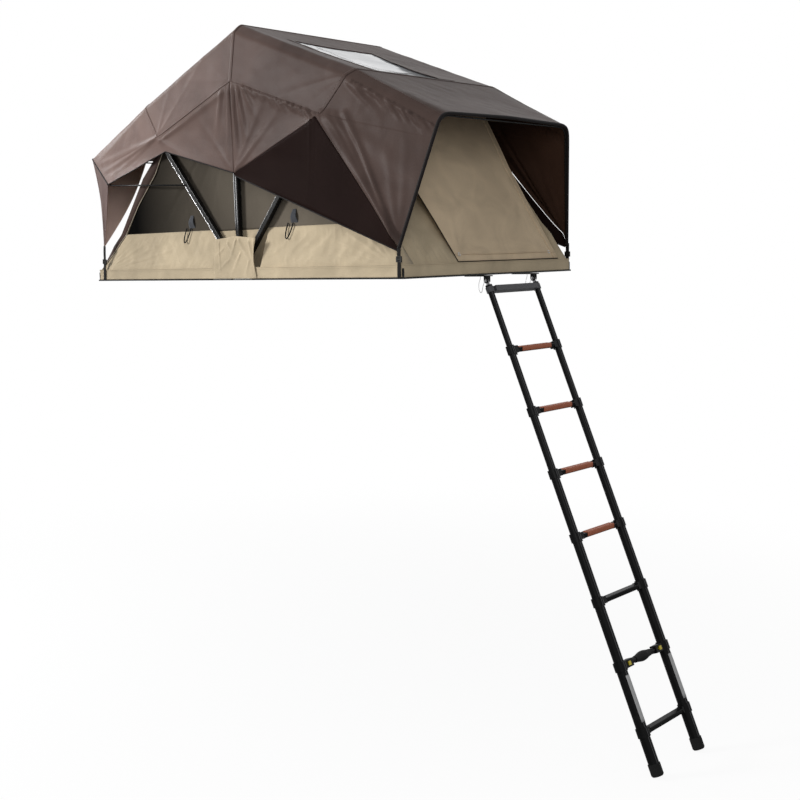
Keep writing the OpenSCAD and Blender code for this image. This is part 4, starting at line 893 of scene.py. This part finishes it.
def sprung(half, bend):
    """A rod through the points of a half and their mirror images, bent in a short curve at each one."""
    points = half + [mirrored(q, 1) for q in half[::-1]]
    line = [points[0]]
    for a, b, c in zip(points, points[1:], points[2:]):
        start = b + bend * (a - b) / np.linalg.norm(a - b)
        stop = b + bend * (c - b) / np.linalg.norm(c - b)
        line += rounded(start, b, stop, 10, end=True)
    return np.array(line + [points[-1]])


rear_side = [on_rear_bow(476, -575.3), ROD_CORNER + [10, 8, -6], EAVE + [12, 10, -10]]
front_side = [FRONT_ANCHOR + [-6, 5.1, 8], FRONT_END[1] + [-12, 10, -8], RIM + [-12, 6, -12]]
RODS = {
    "rear_spring_rod": (sprung(rear_side, 25), "rear_awning_rods", "rear_base"),
    "entrance_hoop": (sprung(front_side, 60), "front_awning_hoop", "front_base"),
}
for name, (line, solid, body) in RODS.items():
    rod = Panels().add_tube(line, ROD).piece(name, [black_paint], 0)
    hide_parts(solid)
    trim(rod, body)
print("rods:", list(RODS))

# %% [markdown]
# ## Sewn seams
# Where the panels meet over a bow a tape is sewn on, with a row of stitches along each edge. Stitches
# are the plainest thing to repeat along a line: a Geometry Nodes tree takes any line, steps along it and
# lays one small thread shape at every step.

# %% Stitches
STITCH, given = group(
    "stitch_run",
    {"Geometry": "Geometry", "Step": 0.009, "Length": 0.0055, "Thickness": 0.0009, "Thread": "Material"},
    {"Geometry": "Geometry"},
    "GeometryNodeTree",
)
line = node(STITCH, "GeometryNodeMeshToCurve", {"Mesh": given["Geometry"]}).outputs["Curve"]
along = {"Curve": line, "Length": given["Step"]}
steps = node(STITCH, "GeometryNodeCurveToPoints", along, mode="LENGTH").outputs
ball = node(STITCH, "GeometryNodeMeshIcoSphere", {"Radius": 0.5}).outputs["Mesh"]
thick = {"X": given["Thickness"], "Y": given["Thickness"], "Z": given["Length"]}
size = node(STITCH, "ShaderNodeCombineXYZ", thick).outputs["Vector"]
laid = {"Points": steps["Points"], "Rotation": steps["Rotation"], "Instance": ball, "Scale": size}
each = node(STITCH, "GeometryNodeInstanceOnPoints", laid).outputs["Instances"]
real = node(STITCH, "GeometryNodeRealizeInstances", {"Geometry": each}).outputs["Geometry"]
painted = node(STITCH, "GeometryNodeSetMaterial", {"Geometry": real, "Material": given["Thread"]})
node(STITCH, "NodeGroupOutput", {"Geometry": painted.outputs["Geometry"]})


def stitches(name, lines, colour=thread):
    """The plain mesh of the stitches that the tree lays along some lines."""
    data = bpy.data.meshes.new(name)
    points, edges = [], []
    for line in lines:
        start = len(points)
        points += [tuple(p) for p in metres(line)]
        edges += [(start + k, start + k + 1) for k in range(len(line) - 1)]
    data.from_pydata(points, edges, [])
    obj = added(name, data)
    sew = obj.modifiers.new("sew", "NODES")
    sew.node_group = STITCH
    keys = {item.name: item.identifier for item in STITCH.interface.items_tree if item.in_out == "INPUT"}
    sew[keys["Thread"]] = colour
    data = bpy.data.meshes.new_from_object(obj.evaluated_get(bpy.context.evaluated_depsgraph_get()))
    data.name = name
    obj.modifiers.remove(sew)
    obj.data = data
    print(name, "faces:", len(data.polygons))
    return obj


print("stitch tree:", len(STITCH.nodes), "nodes")

# %% [markdown]
# A tape lies over a row of the fly's grid, and a corded seam with stitches on both sides follows one of
# its columns.

# %% Seams
TAPE_HALF, TAPE_LIFT, STITCHED_AT = 11, 1.7, 0.6
CORD_R, CORD_SIDES, CORD_LIFT, STITCH_LIFT = 2.4, 6, 1.2, 1.5


def tape(g, i):
    """A strip of cloth along row i of a grid from shoulder to shoulder, with its two stitch lines."""
    rows, lines = [], []
    out = grid_normals(g)
    for share in (-1, -STITCHED_AT, 0, STITCHED_AT, 1):
        step = g[i + (1 if share > 0 else -1)] - g[i]
        far = np.linalg.norm(step, axis=1, keepdims=True)
        at = g[i] + step / far * np.minimum(abs(share) * TAPE_HALF, far) + out[i] * TAPE_LIFT
        rows.append(at[SEAM:-SEAM])
        if abs(share) == STITCHED_AT:
            lines.append(rows[-1] + out[i][SEAM:-SEAM] * 0.9)
    return np.array(rows), lines


def raised(g, rows, col, lift):
    return [(g + grid_normals(g) * lift)[rows, c] for c in (col, COLS - 1 - col)]


over_middle = np.concatenate([rear_fly_grid[-3:], front_fly_grid[1:3]])
FROM_BOW, TO_BOW = slice(BAY, None), slice(0, BAY + 1)
SEAMS = {
    "rear": ([(rear_fly_grid, BAY), (over_middle, 2)], [(rear_fly_grid, FROM_BOW, SEAM)]),
    "front": ([(front_fly_grid, BAY)], [(front_fly_grid, TO_BOW, SEAM), (front_fly_grid, FROM_BOW, CREST)]),
}
for half, (tapes, seams) in SEAMS.items():
    tape_cloth, cord, thread_lines = Panels(), Panels(), []
    for g, i in tapes:
        strip, lines = tape(g, i)
        tape_cloth.add(strip)
        thread_lines += lines
    for g, rows, col in seams:
        for line in raised(g, rows, col, CORD_LIFT):
            cord.add_tube(line, CORD_R, CORD_SIDES)
        for beside in (-5, 4):
            thread_lines += raised(g, rows, col + beside, STITCH_LIFT)
    body = f"{half}_base"
    trim(tape_cloth.piece(f"{half}_seam_tape", [fly_cloth], 1.2), body)
    trim(cord.piece(f"{half}_seam_cord", [fly_cloth], 0), body)
    trim(stitches(f"{half}_seam_stitches", thread_lines), body)

# %% [markdown]
# ## Skylight
# A clear film is let into the roof between the middle and the front bow. It takes the same grid as the
# fly around it, so it meets the cut-out exactly; it sags a little more than the cloth. A strip of cloth
# frames it, and on the far side it widens towards the front.

# %% Skylight
FILM_SAG, WIDENS = 16, 12
pane = front_fly_grid[SKY[0] : SKY[1] + 1, SKY[2] : SKY[3] + 1]
glass = pane - [0, 0, 1.0]
glass[..., 2] -= FILM_SAG * arch(*pane.shape[:2])
sky = Panels().add(glass).piece("skylight_film_sheet", [film], 0.8)
declare(sky, "skylight_window", "front_base")
rim = front_fly_grid[SKY[0] - 2 : SKY[1] + 2, SKY[2] - 2 : SKY[3] + 3]
edge = rim + grid_normals(rim) * 1.6
border = Panels().add(edge[:3]).add(edge[-2:]).add(edge[2:-1, :3]).add(edge[2:-1, -3:])
wedge = []
for i, line in enumerate(edge[2:-1]):
    last = len(line) - 2
    at = np.linspace(last - 1 - WIDENS * i / SKY[1], last, 9)
    wedge.append(np.stack([np.interp(at, np.arange(len(line)), line[:, k]) for k in range(3)], 1))
border.add(np.array(wedge) + [0, 0, 1.4])
trim(border.piece("skylight_border", [fly_cloth], 1.0), "front_base")

# %% [markdown]
# ## Tent body
# Inside the fly hangs the sleeping tent itself: pale canvas low on the sides, dark mesh above the sill,
# a wall across each end and a roof. The canvas is slack, so wrinkles run over it from its corners and
# seams; the mesh is drawn tight between sill and bows. A strip with piping binds the corner between side
# and end, dark at the rear and canvas at the front. All is drawn for the rear half, near side.

# %% Walls and windows
WALL_Y, SILL, WALL_FOOT, END_FOOT_X, END_Y = 541, 250, 46.7, -1140, 539
IN_CORNER_Y, IN_CORNER_R, IN_SHOULDER_R = 483.5, 1025.5, 805
SHOULDER = on_rear_bow(IN_SHOULDER_R, 0)
FOOT_Y, BULGE_Y = 617, 575
GAP_X = -1.5  # the cloth of each half ends here, just short of the fold line
ACROSS = [1, 0, 2]  # columns for folds that are given by their place across the tent and their height


def end_x(z):
    return END_FOOT_X + (SHOULDER[0] - END_FOOT_X) * (z - WALL_FOOT) / (SHOULDER[2] - WALL_FOOT)


def wall_y(z):
    return np.interp(z, [WALL_FOOT, (WALL_FOOT + SILL) / 2, SILL], [FOOT_Y, BULGE_Y, WALL_Y])


def at(x, z):
    """A point of a fold, by its place along the grid and its height."""
    return np.array([x, 0, z], float)


def points_at(*pairs):
    return [at(x, z) for x, z in pairs]


def finer(control, rows, cols):
    """Straight lines between the points of a coarse grid, at rows by cols points."""
    g = np.asarray(control, float)
    for axis, count in ((0, rows), (1, cols)):
        places = np.linspace(0, g.shape[axis] - 1, count)
        low = np.minimum(places.astype(int), g.shape[axis] - 2)
        share = (places - low).reshape((-1, 1, 1) if axis == 0 else (1, -1, 1))
        g = toward(np.take(g, low, axis), np.take(g, low + 1, axis), share)
    return g


PULLS = ((-905, 235), (-830, 225), (-740, 215), (-640, 190), (-520, 160), (-560, 110), (-380, 96))
LEG_FACE_X, LEG_FACE_Z = -98, 135  # where the wall steps in behind a bow leg


def slanted(g, share):
    """A grid leaned over, so that noise on it runs aslant."""
    return g + g[..., 2:] * [share, 0, 0]


def side_wall(seed, reach, rows=170, cols=34, turn_at=0.85):
    """Stands out from foot to sill and steps in behind the bow legs, at the latest at reach."""
    high = np.linspace(WALL_FOOT, SILL, cols)
    step = np.minimum(LEG_FACE_X - np.maximum(high - LEG_FACE_Z, 0) * math.tan(LEAN), reach)
    lines = []
    for t in np.linspace(0, 1, rows):
        s = max(0, t - turn_at) / (1 - turn_at)
        x = toward(toward(end_x(high) + 6, step, min(1, t / turn_at)), GAP_X, s)
        lines.append(np.stack([x, -toward(wall_y(high), WALL_Y - 2, min(1, s * 9)), high], 1))
    g = np.array(lines)
    soft = 1 - 2.4 * np.abs(ripple_noise(slanted(g, 1.1), 90, seed, (1, 1, 0.2)))
    soft += 0.7 * ripple_noise(g, 40, seed + 4, (1, 1, 0.6))
    lift = np.outer(np.clip(np.linspace(0, 1, rows) * 12, 0, 1), bell(np.linspace(0, 1, cols)) ** 0.7)
    folds = fan(at(END_FOOT_X + 30, WALL_FOOT), points_at(*PULLS), 9, 7, 0.3)
    folds += gathers(at(-1000, SILL - 4), at(-120, SILL - 4), 22, (-40, 0, -85), 8, 4)
    folds += gathers(at(-1090, WALL_FOOT), at(-120, WALL_FOOT), 26, (34, 0, 70), 8, 4)
    g[..., 1] -= (5.0 * soft + ridges(g, folds)) * lift
    return g


def side_window(seed, rows=80, cols=60):
    tall = MIDDLE_Z + IN_SHOULDER_R - 4
    low = [(x, -WALL_Y, SILL - 6) for x in (end_x(SILL) + 6, -500, GAP_X)]
    head = ((SHOULDER[0] + 6, SHOULDER[2] - 2), (-290, (SHOULDER[2] + tall) / 2 - 10), (GAP_X, tall))
    g = finer(np.stack([low, [(x, -WALL_Y, z) for x, z in head]], 1), rows, cols)
    folds = gathers(at(-460, SILL), at(-10, SILL), 11, (-50, 0, 300), 12, 7)
    folds += fan(at(GAP_X, tall), [at(x, SILL + 60) for x in (-620, -420, -260)], 16, 7)
    slack = 9 + 5 * ripple_noise(g, 120, seed, (1, 1, 0.4)) + ridges(g, folds)
    g[..., 1] += arch(rows, cols) * slack
    return g


def row(points):
    """A half row and its mirror image."""
    return np.array(points + [mirrored(q, 1) for q in points[-2::-1]])


END_OFF, END_OUT = np.array([-4, 0, -2]), np.array([-0.9, 0, 0.4])


def end_wall(seed, low=61, high=25, cols=121):
    foot = row([np.array([END_FOOT_X, y, WALL_FOOT]) for y in (-END_Y, -300, 0)])
    side = on_rear_bow(IN_SHOULDER_R, -END_Y) + END_OFF
    mid = toward(foot[2], on_rear_bow(IN_CORNER_R, 0), 0.72) + END_OFF
    inner = toward(side, mid, 0.6)
    inner[1] = -300
    shoulder = row([side, inner, mid])
    crown = row([on_rear_bow(IN_CORNER_R, y) + END_OFF for y in (-IN_CORNER_Y, -240, 0)])
    g = np.concatenate([finer([foot, shoulder], low, cols), finer([shoulder, crown], high, cols)[1:]])
    shape = arch(*g.shape[:2])
    soft = 4 * ripple_noise(g, 170, seed, (1, 0.6, 1)) + 2 * ripple_noise(g, 60, seed + 9)
    corner = at(-END_Y + 14, WALL_FOOT + 10)
    folds = gathers(corner, at(-120, WALL_FOOT + 10), 14, (-26, 0, 120), 11, 9)
    folds += fan(corner, points_at((-440, 420), (-380, 330), (-300, 260), (-240, 170)), 14, 8, 0.2)
    folds += [(mirrored(a, 0), mirrored(b, 0), *rest) for a, b, *rest in folds]
    pulled = ridges(g[..., ACROSS], folds) * np.clip(20 * shape, 0, 1)
    return g + (12 * shape + soft * np.clip(3 * shape, 0, 1) + pulled)[..., None] * END_OUT


def tent_roof(rows=40, cols=81):
    stops = ((IN_SHOULDER_R, WALL_Y), (IN_CORNER_R, IN_CORNER_Y), (IN_CORNER_R, 0))
    off = ((8, 0, 3), (6, 0, 0), (6, 0, 0))
    rear = row([on_rear_bow(r, -y) + d for (r, y), d in zip(stops, off)])
    middle = row([np.array([GAP_X, -y, MIDDLE_Z + r]) for r, y in stops])
    g = finer([rear, middle], rows, cols)
    g[..., 2] -= 30 * np.outer(bell(np.linspace(0, 1, rows)), bell(np.linspace(0, 1, cols)) ** 0.7)
    return g


def corner_strip(cols=60):
    """The strip round the corner of side and end wall, and the line of its piping."""
    high = np.linspace(WALL_FOOT + 6, SHOULDER[2] - 8, cols)
    x, y = end_x(high), wall_y(high)
    inner = np.interp(high, [200, 400, 560, 700], [0, 10, 55, 40])
    outer = -45 * np.interp(high, [60, 190, 540, 660], [0, 1, 1, 0])
    ends = [(inner, 2.6), ((inner + outer) / 2, 3.4), (outer, 2.6), (outer - 4, -6), (-5, END_Y - y)]
    g = np.array([np.stack([x + dx, -(y + dy), high], 1) for dx, dy in ends])
    return g, g[0] + [1, -1, 0]


print("shoulder of the tent body at", SHOULDER.round(1))

# %% [markdown]
# The front half is the rear one turned round, with other wrinkles. Its end wall has the doorway.

# %% Tent body


def facing(front, g):
    """What is drawn for the rear half, turned round if it is for the front half."""
    return mirrored(g, 0) if front else g


DOORWAY = (slice(12, 61), slice(41, 90))
PIPE_R = 2.2
for half, seeds, reach in (("rear", (1.7, 4.1), -98), ("front", (2.3, 5.9), -206)):
    front, body, solid = half == "front", f"{half}_base", f"{half}_tent_walls"
    walls, mesh, strips, pipes, inner = (Panels() for _ in range(5))
    strip, pipe = corner_strip()
    for side, seed in zip(SIDES, seeds):
        inward = (side > 0) != front
        walls.add(facing(front, on_side(side_wall(seed, reach), side)), flip=inward)
        mesh.add(facing(front, on_side(side_window(seed), side)), flip=not inward)
        strips.add(facing(front, on_side(strip, side)), flip=not inward)
        pipes.add_tube(facing(front, on_side(pipe, side)), PIPE_R)
    sides = walls.piece(f"{half}_side_walls", [canvas])
    declare(sides, solid, body, FLAT_WALL)
    wall = end_wall(seeds[0] + 11)
    keep = np.ones(wall.shape[:2], bool)
    keep[DOORWAY] = not front
    inner.add(facing(front, wall), keep, flip=not front).add(facing(front, tent_roof()), flip=front)
    ends = inner.piece(f"{half}_end_wall_and_roof", [canvas])
    declare(ends, solid, body)
    screens = mesh.piece(f"{half}_window_screens", [mesh_cloth], 0.8)
    declare(screens, f"{half}_window_mesh", body)
    bound = strips.piece(f"{half}_corner_strips", [canvas if front else strip_cloth], 1.2)
    declare(bound, solid, body)
    cord = pipes.piece(f"{half}_corner_piping", [canvas if front else piping], 0)
    trim(cord, body)

# %% [markdown]
# ## Skirt and hinge patches
# The skirt is a band of canvas held in the base's lip all the way round, with a corded seam on top. Over
# each hinge a loose patch bridges the two halves, so it is attached to neither of them.

# %% Skirt
SKIRT_Y, SKIRT_LOW, SKIRT_TOP, SKIRT_END, SKIRT_R = 622.0, 7.3, 58.0, 1147.05, 14


def skirt_line(inset, z):
    x, y = -SKIRT_END + inset, -SKIRT_Y + inset
    turn = np.linspace(0, math.pi / 2, 8)
    corner = [np.array([x + SKIRT_R * (1 - math.sin(w)), y + SKIRT_R * (1 - math.cos(w)), z]) for w in turn]
    side = spread((GAP_X, y, z), corner[0], 130)
    end = spread(corner[-1], (x, 0, z), 70, end=True)
    return row(side + corner[:-1] + end)


for half, seed in (("rear", 3.3), ("front", 6.6)):
    front, body = half == "front", f"{half}_base"
    share = np.linspace(0, 1, 13)
    g = np.array([skirt_line(0.4 * bell(t), toward(SKIRT_LOW, SKIRT_TOP, t)) for t in share])
    loose = ripple_noise(slanted(g, 1.2), 34, seed, (1, 1, 0.4)) - 0.4
    g[..., 1] += np.sign(g[..., 1]) * 1.1 * loose * bell(share)[:, None]
    seam = skirt_line(-0.3, SKIRT_TOP + 1.5)
    stitched = skirt_line(-1.2, SKIRT_TOP - 7)
    g, seam, stitched = (facing(front, v) for v in (g, seam, stitched))
    band = Panels().add(g, flip=not front).piece(f"{half}_skirt_band", [canvas], 1.2)
    declare(band, f"{half}_skirt", body, STAYS)
    cord = Panels().add_tube(seam, PIPE_R).piece(f"{half}_skirt_piping", [canvas], 0)
    trim(cord, body, STAYS)
    trim(stitches(f"{half}_skirt_stitches", [stitched], piping), body, STAYS)

# %% [markdown]
# A patch is slack, so its creases are written one by one: the place along and the height of both
# ends, then a width and a height.

# %% Hinge patches
CREASES = (
    (68, 202, 150, 100, 13, 10), (58, 202, 16, 116, 11, 7), (-14, 188, 38, 116, 12, 8),
    (-76, 196, -74, 14, 7, 6), (92, 136, 4, 16, 13, 6), (6, 104, -92, 46, 11, 6),
    (148, 192, 178, 84, 12, 8), (186, 206, 184, 20, 7, 6), (-40, 156, -96, 122, 9, 5),
    (150, 96, 110, 14, 12, 5),
)
PATCH_FROM, PATCH_WIDE, PATCH_TOP, PATCH_Y = -128, 324, 214, 624.2
u, v = np.linspace(0, 1, 110)[:, None], np.linspace(0, 1, 40)
top = PATCH_TOP - 14 * abs(u * 8 - 4) / 4
x = PATCH_FROM + 24 * v + (PATCH_WIDE - 24 * v) * u - 12 * bell(v) * u ** 3
y = -(PATCH_Y + 3 * bell(v))
patch = np.stack(np.broadcast_arrays(x, y, SKIRT_LOW + (top - SKIRT_LOW) * v), -1)
folds = [fold for a, b, c, d, w, h in CREASES for fold in run(at(a, b), at(c, d), w, h, 0.35)]
patch[..., 1] -= ridges(patch, folds) * v ** 0.5 + 0.9 * (1 + ripple_noise(patch, 40, 9.4, (1, 1, 0.4)))
for side, label in zip(SIDES, ("near", "far")):
    cover = Panels().add(on_side(patch, side), flip=side > 0).piece(f"hinge_patch_{label}", [canvas])
    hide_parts("hinge_cover_patches")
    area = cover["cloth_area"]
    metres((-60, 0, 100))
    metres((60, 0, 100))
    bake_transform(cover)
    print(cover.name, "cut area", round(area, 4))

# %% [markdown]
# ## Door
# The door is a panel of canvas that hangs down over the doorway from the front bow, its canvas painted
# lighter than the walls': painted light for the shade it stands in. Its near edge and foot are loose, edged
# with a dark zip, so it stands a little off the wall behind. A hem runs along its far edge and above its
# foot, and an eyelet in each lower corner takes a peg.

# %% Door
DOOR_LEAN = math.radians(63)
DOOR_OUT = np.array([math.sin(DOOR_LEAN), 0, math.cos(DOOR_LEAN)])
DOOR_N, DOOR_LOW, DOOR_TALL = 80, 0.02, 0.94
FAR_EDGE = ([0, 0.3, 0.55, 1], [528, 432, 376, 350])
DOOR_FOLDS = (
    fan(at(-232, 74), points_at((-190, 330), (-90, 300), (30, 240), (170, 170)), 17, 9, 0.1)
    + fan(at(506, 74), points_at((300, 150), (350, 260), (400, 420)), 17, 8, 0.1)
    + run(at(-120, 112), at(440, 96), 13, 7)
    + run(at(0, 156), at(400, 138), 15, 4)
    + fan(at(-395, 800), points_at((-300, 420), (-140, 520)), 22, 6, 0.1)
)
v = np.linspace(0, 1, DOOR_N)
u = v[:, None]
up = DOOR_LOW + DOOR_TALL * u
foot = at(END_FOOT_X, WALL_FOOT)
head = on_rear_bow(IN_CORNER_R, 0) + END_OFF
near, far = -240 - 160 * np.minimum(1, u / 0.45), np.interp(u, *FAR_EDGE)
loose = bell(up) * (15 + 4 * (1 + np.cos(2 * np.pi * v)))
hold = arch(DOOR_N, DOOR_N)
wave = 3.0 * np.sin(2 * np.pi * (1.4 * v + 0.9 * u)) * hold
door = mirrored(toward(foot, head, up[..., None]), 0) + (2.4 + loose + wave)[..., None] * DOOR_OUT
door[..., 1] += near + (far - near) * v
soft = 5 * ripple_noise(door, 150, 12.2) + 2 * ripple_noise(door, 60, 3.9, (1, 0.5, 1))
pulled = ridges(door[..., ACROSS], DOOR_FOLDS) * np.clip(16 * hold, 0, 1)
door = door + (soft * hold + pulled)[..., None] * DOOR_OUT
# Painted light: the door's canvas is painted lighter than the walls'.
sheet = Panels().add(door, flip=True).piece("door_panel", [door_painted_light])
declare(sheet, "door_flap", "front_base")

zip_edge, hem, eyelets = Panels(), Panels(), Panels()
ON_TOP = DOOR_OUT * 2
for line in (door[:, 0], door[0]):
    zip_edge.add_tube(line, 3.4, wide=0.6)
for line in (door[:, -1], door[:, -4] + ON_TOP, door[3] + ON_TOP):
    hem.add_tube(line, 3.2)
turn = np.linspace(0, 2 * math.pi, 21)
rise = np.cross(DOOR_OUT, [0, 1, 0])
circle = np.outer(np.cos(turn), [0, 1, 0]) + np.outer(np.sin(turn), rise)
for corner in (door[3, 3], door[3, -6]):
    eyelets.add_tube(corner + ON_TOP + 7 * circle, 2.2)
for panels, name, finish in (
    (zip_edge, "door_zip", binding), (hem, "door_hem", door_painted_light), (eyelets, "door_eyelets", bright_metal),
):
    trim(panels.piece(name, [finish], 0), "front_base")

# %% [markdown]
# ## Mattresses
# Each half of the base carries its own foam mattress. It is a pad, so it is crowned, its sides are drawn
# in a little at the corners and its cover is quilted in channels.

# %% Mattresses
PAD_ROWS, PAD_COLS, PAD_FILL = 60, 64, 0.8
QUILT, CHANNELS = 2.0, 4
for half in ("rear", "front"):
    low, high = box_mm(f"{half}_mattress")
    centre, (half_x, half_y, half_z) = (low + high) / 2, (high - low) / 2 - 1
    a, b = (2 * np.arange(count) / (count - 1) - 1 for count in (PAD_ROWS, PAD_COLS))
    a, b = np.meshgrid(a, b, indexing="ij")
    edge = np.minimum(1.0, 8 * (1 - np.maximum(abs(a), abs(b))))
    draw = 1 - 0.012 * np.where(abs(b) > abs(a), bell((a + 1) / 2), bell((b + 1) / 2))
    crown = 1 - 0.10 * np.maximum(a * a, b * b) - 0.25 * (1 - edge) ** 2
    quilt = QUILT * (abs(np.sin(CHANNELS * np.pi * a)) ** 0.5 - 1)
    under, over = -half_z * (1 - 0.3 * (1 - edge) ** 2), half_z * crown + quilt * edge
    layers = [np.stack([half_x * a * draw, half_y * b * draw, z], -1) for z in (under, over)]
    points = metres(centre + np.array(layers)).reshape(-1, 3)
    index = np.arange(2 * a.size).reshape(2, PAD_ROWS, PAD_COLS)
    quads = []
    for i in range(PAD_ROWS - 1):
        for j in range(PAD_COLS - 1):
            for k, ring in enumerate(index[:, i : i + 2, j : j + 2]):
                (p, q), (r, s) = ring.tolist()
                quads.append((p, r, s, q) if k else (p, q, s, r))
    first = index[0]
    rim = np.concatenate([first[:, 0], first[-1, 1:], first[-2::-1, -1], first[0, -2:0:-1]]).tolist()
    for p, q in zip(rim, rim[1:] + rim[:1]):
        quads.append((q, p, a.size + p, a.size + q))
    data = bpy.data.meshes.new(f"{half}_mattress_pad")
    data.from_pydata([tuple(p) for p in points], [], quads)
    layer = data.uv_layers.new(name="cloth")
    for loop in data.loops:
        co = data.vertices[loop.vertex_index].co
        layer.data[loop.index].uv = (co.x + co.z, co.y + co.z)
    data.polygons.foreach_set("use_smooth", [True] * len(data.polygons))
    data.materials.append(pad_cover)
    pad = added(f"{half}_mattress_pad", data)
    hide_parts(f"{half}_mattress")
    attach(pad, f"{half}_base")
    print(pad.name, "faces:", len(quads))

# %% [markdown]
# ## Straps
# At each corner the fly is pulled down by a strap of webbing through a ladder-lock buckle. Webbing is a
# flat strip with a little waviness.

# %% Straps
STRAP_Y, STRAP_HALF = -626.3, 10
STRAPS = {
    "rear": (REAR_ANCHOR + [2, 0, 8], np.array([-1088, -625, 2])),
    "front": (FRONT_ANCHOR + [-2, 0, 6], np.array([1127, -625, 2])),
}
for half, (top, foot) in STRAPS.items():
    way = (foot - top) / np.linalg.norm(foot - top)
    beside = np.outer(np.linspace(-STRAP_HALF, STRAP_HALF, 7), [-way[2], 0, way[0]])
    t = np.linspace(0, 1, 24)
    middle = np.array(spread(top, foot, 24, end=True))
    middle[:, 1] = STRAP_Y - 0.5 * np.sin(3 * np.pi * t)
    g = middle[:, None] + beside
    panels = Panels()
    for side in SIDES:
        panels.add(on_side(g, side), flip=side < 0)
    straps = panels.piece(f"{half}_corner_straps", [webbing], 1.6)
    declare(straps, f"{half}_anchor_straps", f"{half}_base", STAYS)

# %% [markdown]
# ## Window tabs and loops
# A small tab of webbing is sewn on each window, and below the sill hangs a loop of cord. They hold the
# window cover when it is rolled up.

# %% Window tabs and loops
TABS = {"rear": -395, "front": 386}
TAB_HALF, TAB_Z, TAB_TALL, LOOP_R = 19, 296, 34, 3.0
t = np.linspace(-1, 1, 13)[:, None]
w = np.linspace(-0.2, math.pi + 0.2, 17)
for half, x in TABS.items():
    tabs, loops = Panels(), Panels()
    over = x + np.linspace(-TAB_HALF, TAB_HALF, 7) * (1 - 0.4 * t)
    tab = np.stack(np.broadcast_arrays(over, -WALL_Y - 3 - 5 * np.cos(3 * t), TAB_Z + TAB_TALL * t), -1)
    hang = np.stack([x + 18 * np.cos(w) - 24, -WALL_Y - 9 - 26 * np.sin(w), SILL + 4 - 62 * np.sin(w)], 1)
    for side in SIDES:
        tabs.add(on_side(tab, side), flip=side < 0)
        loops.add_tube(on_side(hang, side), LOOP_R)
    trim(tabs.piece(f"{half}_window_tabs", [tab_cloth], 1.6), f"{half}_base")
    trim(loops.piece(f"{half}_window_loops", [webbing], 0), f"{half}_base")
print("tabs and loops:", list(TABS))

# %% [markdown]
# ## Edges of the bow legs
# The legs are square tubes, black on their faces. Along each rounded outer edge a thin line of bright
# metal, riding with its bow, stands for the highlight there: a painted highlight.

# %% Edges of the bow legs
LEG_OUT, LEG_HALF, EDGE_FROM, EDGE_TO, EDGE_R = 572.4, 12.5, 60, 690, 1.4
BOWS = {
    "rear": (-BOW_X, BOW_Z, -LEAN, (-0.8,)),
    "middle": (0, MIDDLE_Z, 0.0, (-0.8, 0.35)),
    "front": (BOW_X, BOW_Z, LEAN, (-0.8,)),
}
for bow, (x, z, lean, shares) in BOWS.items():
    edges = Panels()
    up = np.array([math.sin(lean), 0, math.cos(lean)])
    fore = np.array([math.cos(lean), 0, -math.sin(lean)])
    for side in SIDES:
        for share in shares:
            foot = np.array([x, side * LEG_OUT, z]) + fore * share * LEG_HALF
            edges.add_tube(spread(foot + up * EDGE_FROM, foot + up * EDGE_TO, 12, end=True), EDGE_R, 6)
    # A painted highlight: bright lines where the light catches the legs' edges.
    line = edges.piece(f"{bow}_leg_painted_highlights", [bright_metal], 0)
    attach(line, f"{bow}_bow")
print("leg edges:", list(BOWS))

# %% [markdown]
# ## Strips on the ladder
# The ladder's lowest tubes carry a plain strip each, wrapped a little way round the tube. A strip is part
# of a cylinder, so it is laid out by angle and by height.

# %% Strips on the ladder
LADDER_LEAN, LADDER_PIN_Z = math.radians(-22.75), -24
LADDER_OUT = np.array([math.cos(LADDER_LEAN), 0, -math.sin(LADDER_LEAN)])
LADDER_DOWN = -np.array([math.sin(LADDER_LEAN), 0, math.cos(LADDER_LEAN)])
STRIP_FROM, STRIP_TO, STRIP_R, STRIP_TURN = 1850, 2056, 24.7, math.radians(32)
turn = np.linspace(-STRIP_TURN, STRIP_TURN, 11)
around = STRIP_R * (np.outer(np.cos(turn), LADDER_OUT) + np.outer(np.sin(turn), [0, 1, 0]))
down = np.outer(np.linspace(STRIP_FROM, STRIP_TO, 12), LADDER_DOWN)
strips = Panels()
for side in SIDES:
    strips.add(np.array([LADDER_PIN_X, LADDER_Y + side * STILE, LADDER_PIN_Z]) + down[:, None] + around)
plain_strips = strips.piece("ladder_strips", [strip_grey], 0.6)
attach(plain_strips, "ladder_7")
print("ladder strips:", len(plain_strips.data.polygons))

# %% [markdown]
# ## Tread covers
# The four upper rungs wear a red grip that reaches over the front of the rung. The solid has the top of
# it; a bent strip, drawn as a profile carried from end to end, brings it down over the front.

# %% Tread covers
PROFILE = ((9.0, 14.5), (12.2, 14.5), (14.6, 13.4), (15.8, 10.5), (16.0, 5.0), (16.0, -2.0), (15.8, -8.0))
TREADS, TREAD_TOP = 4, 14
for k in range(1, TREADS + 1):
    low, high = box_mm(f"rung_tread_{k}")
    middle = np.array([(low[0] + high[0]) / 2, 0, high[2] - TREAD_TOP])
    g = np.array([[middle + [x, y, z] for x, z in PROFILE] for y in np.linspace(low[1], high[1], 40)])
    cover = Panels().add(g, flip=True).piece(f"tread_cover_{k}", [tread_red], 1.0)
    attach(cover, f"ladder_{k + 1}")
print("tread covers:", TREADS)
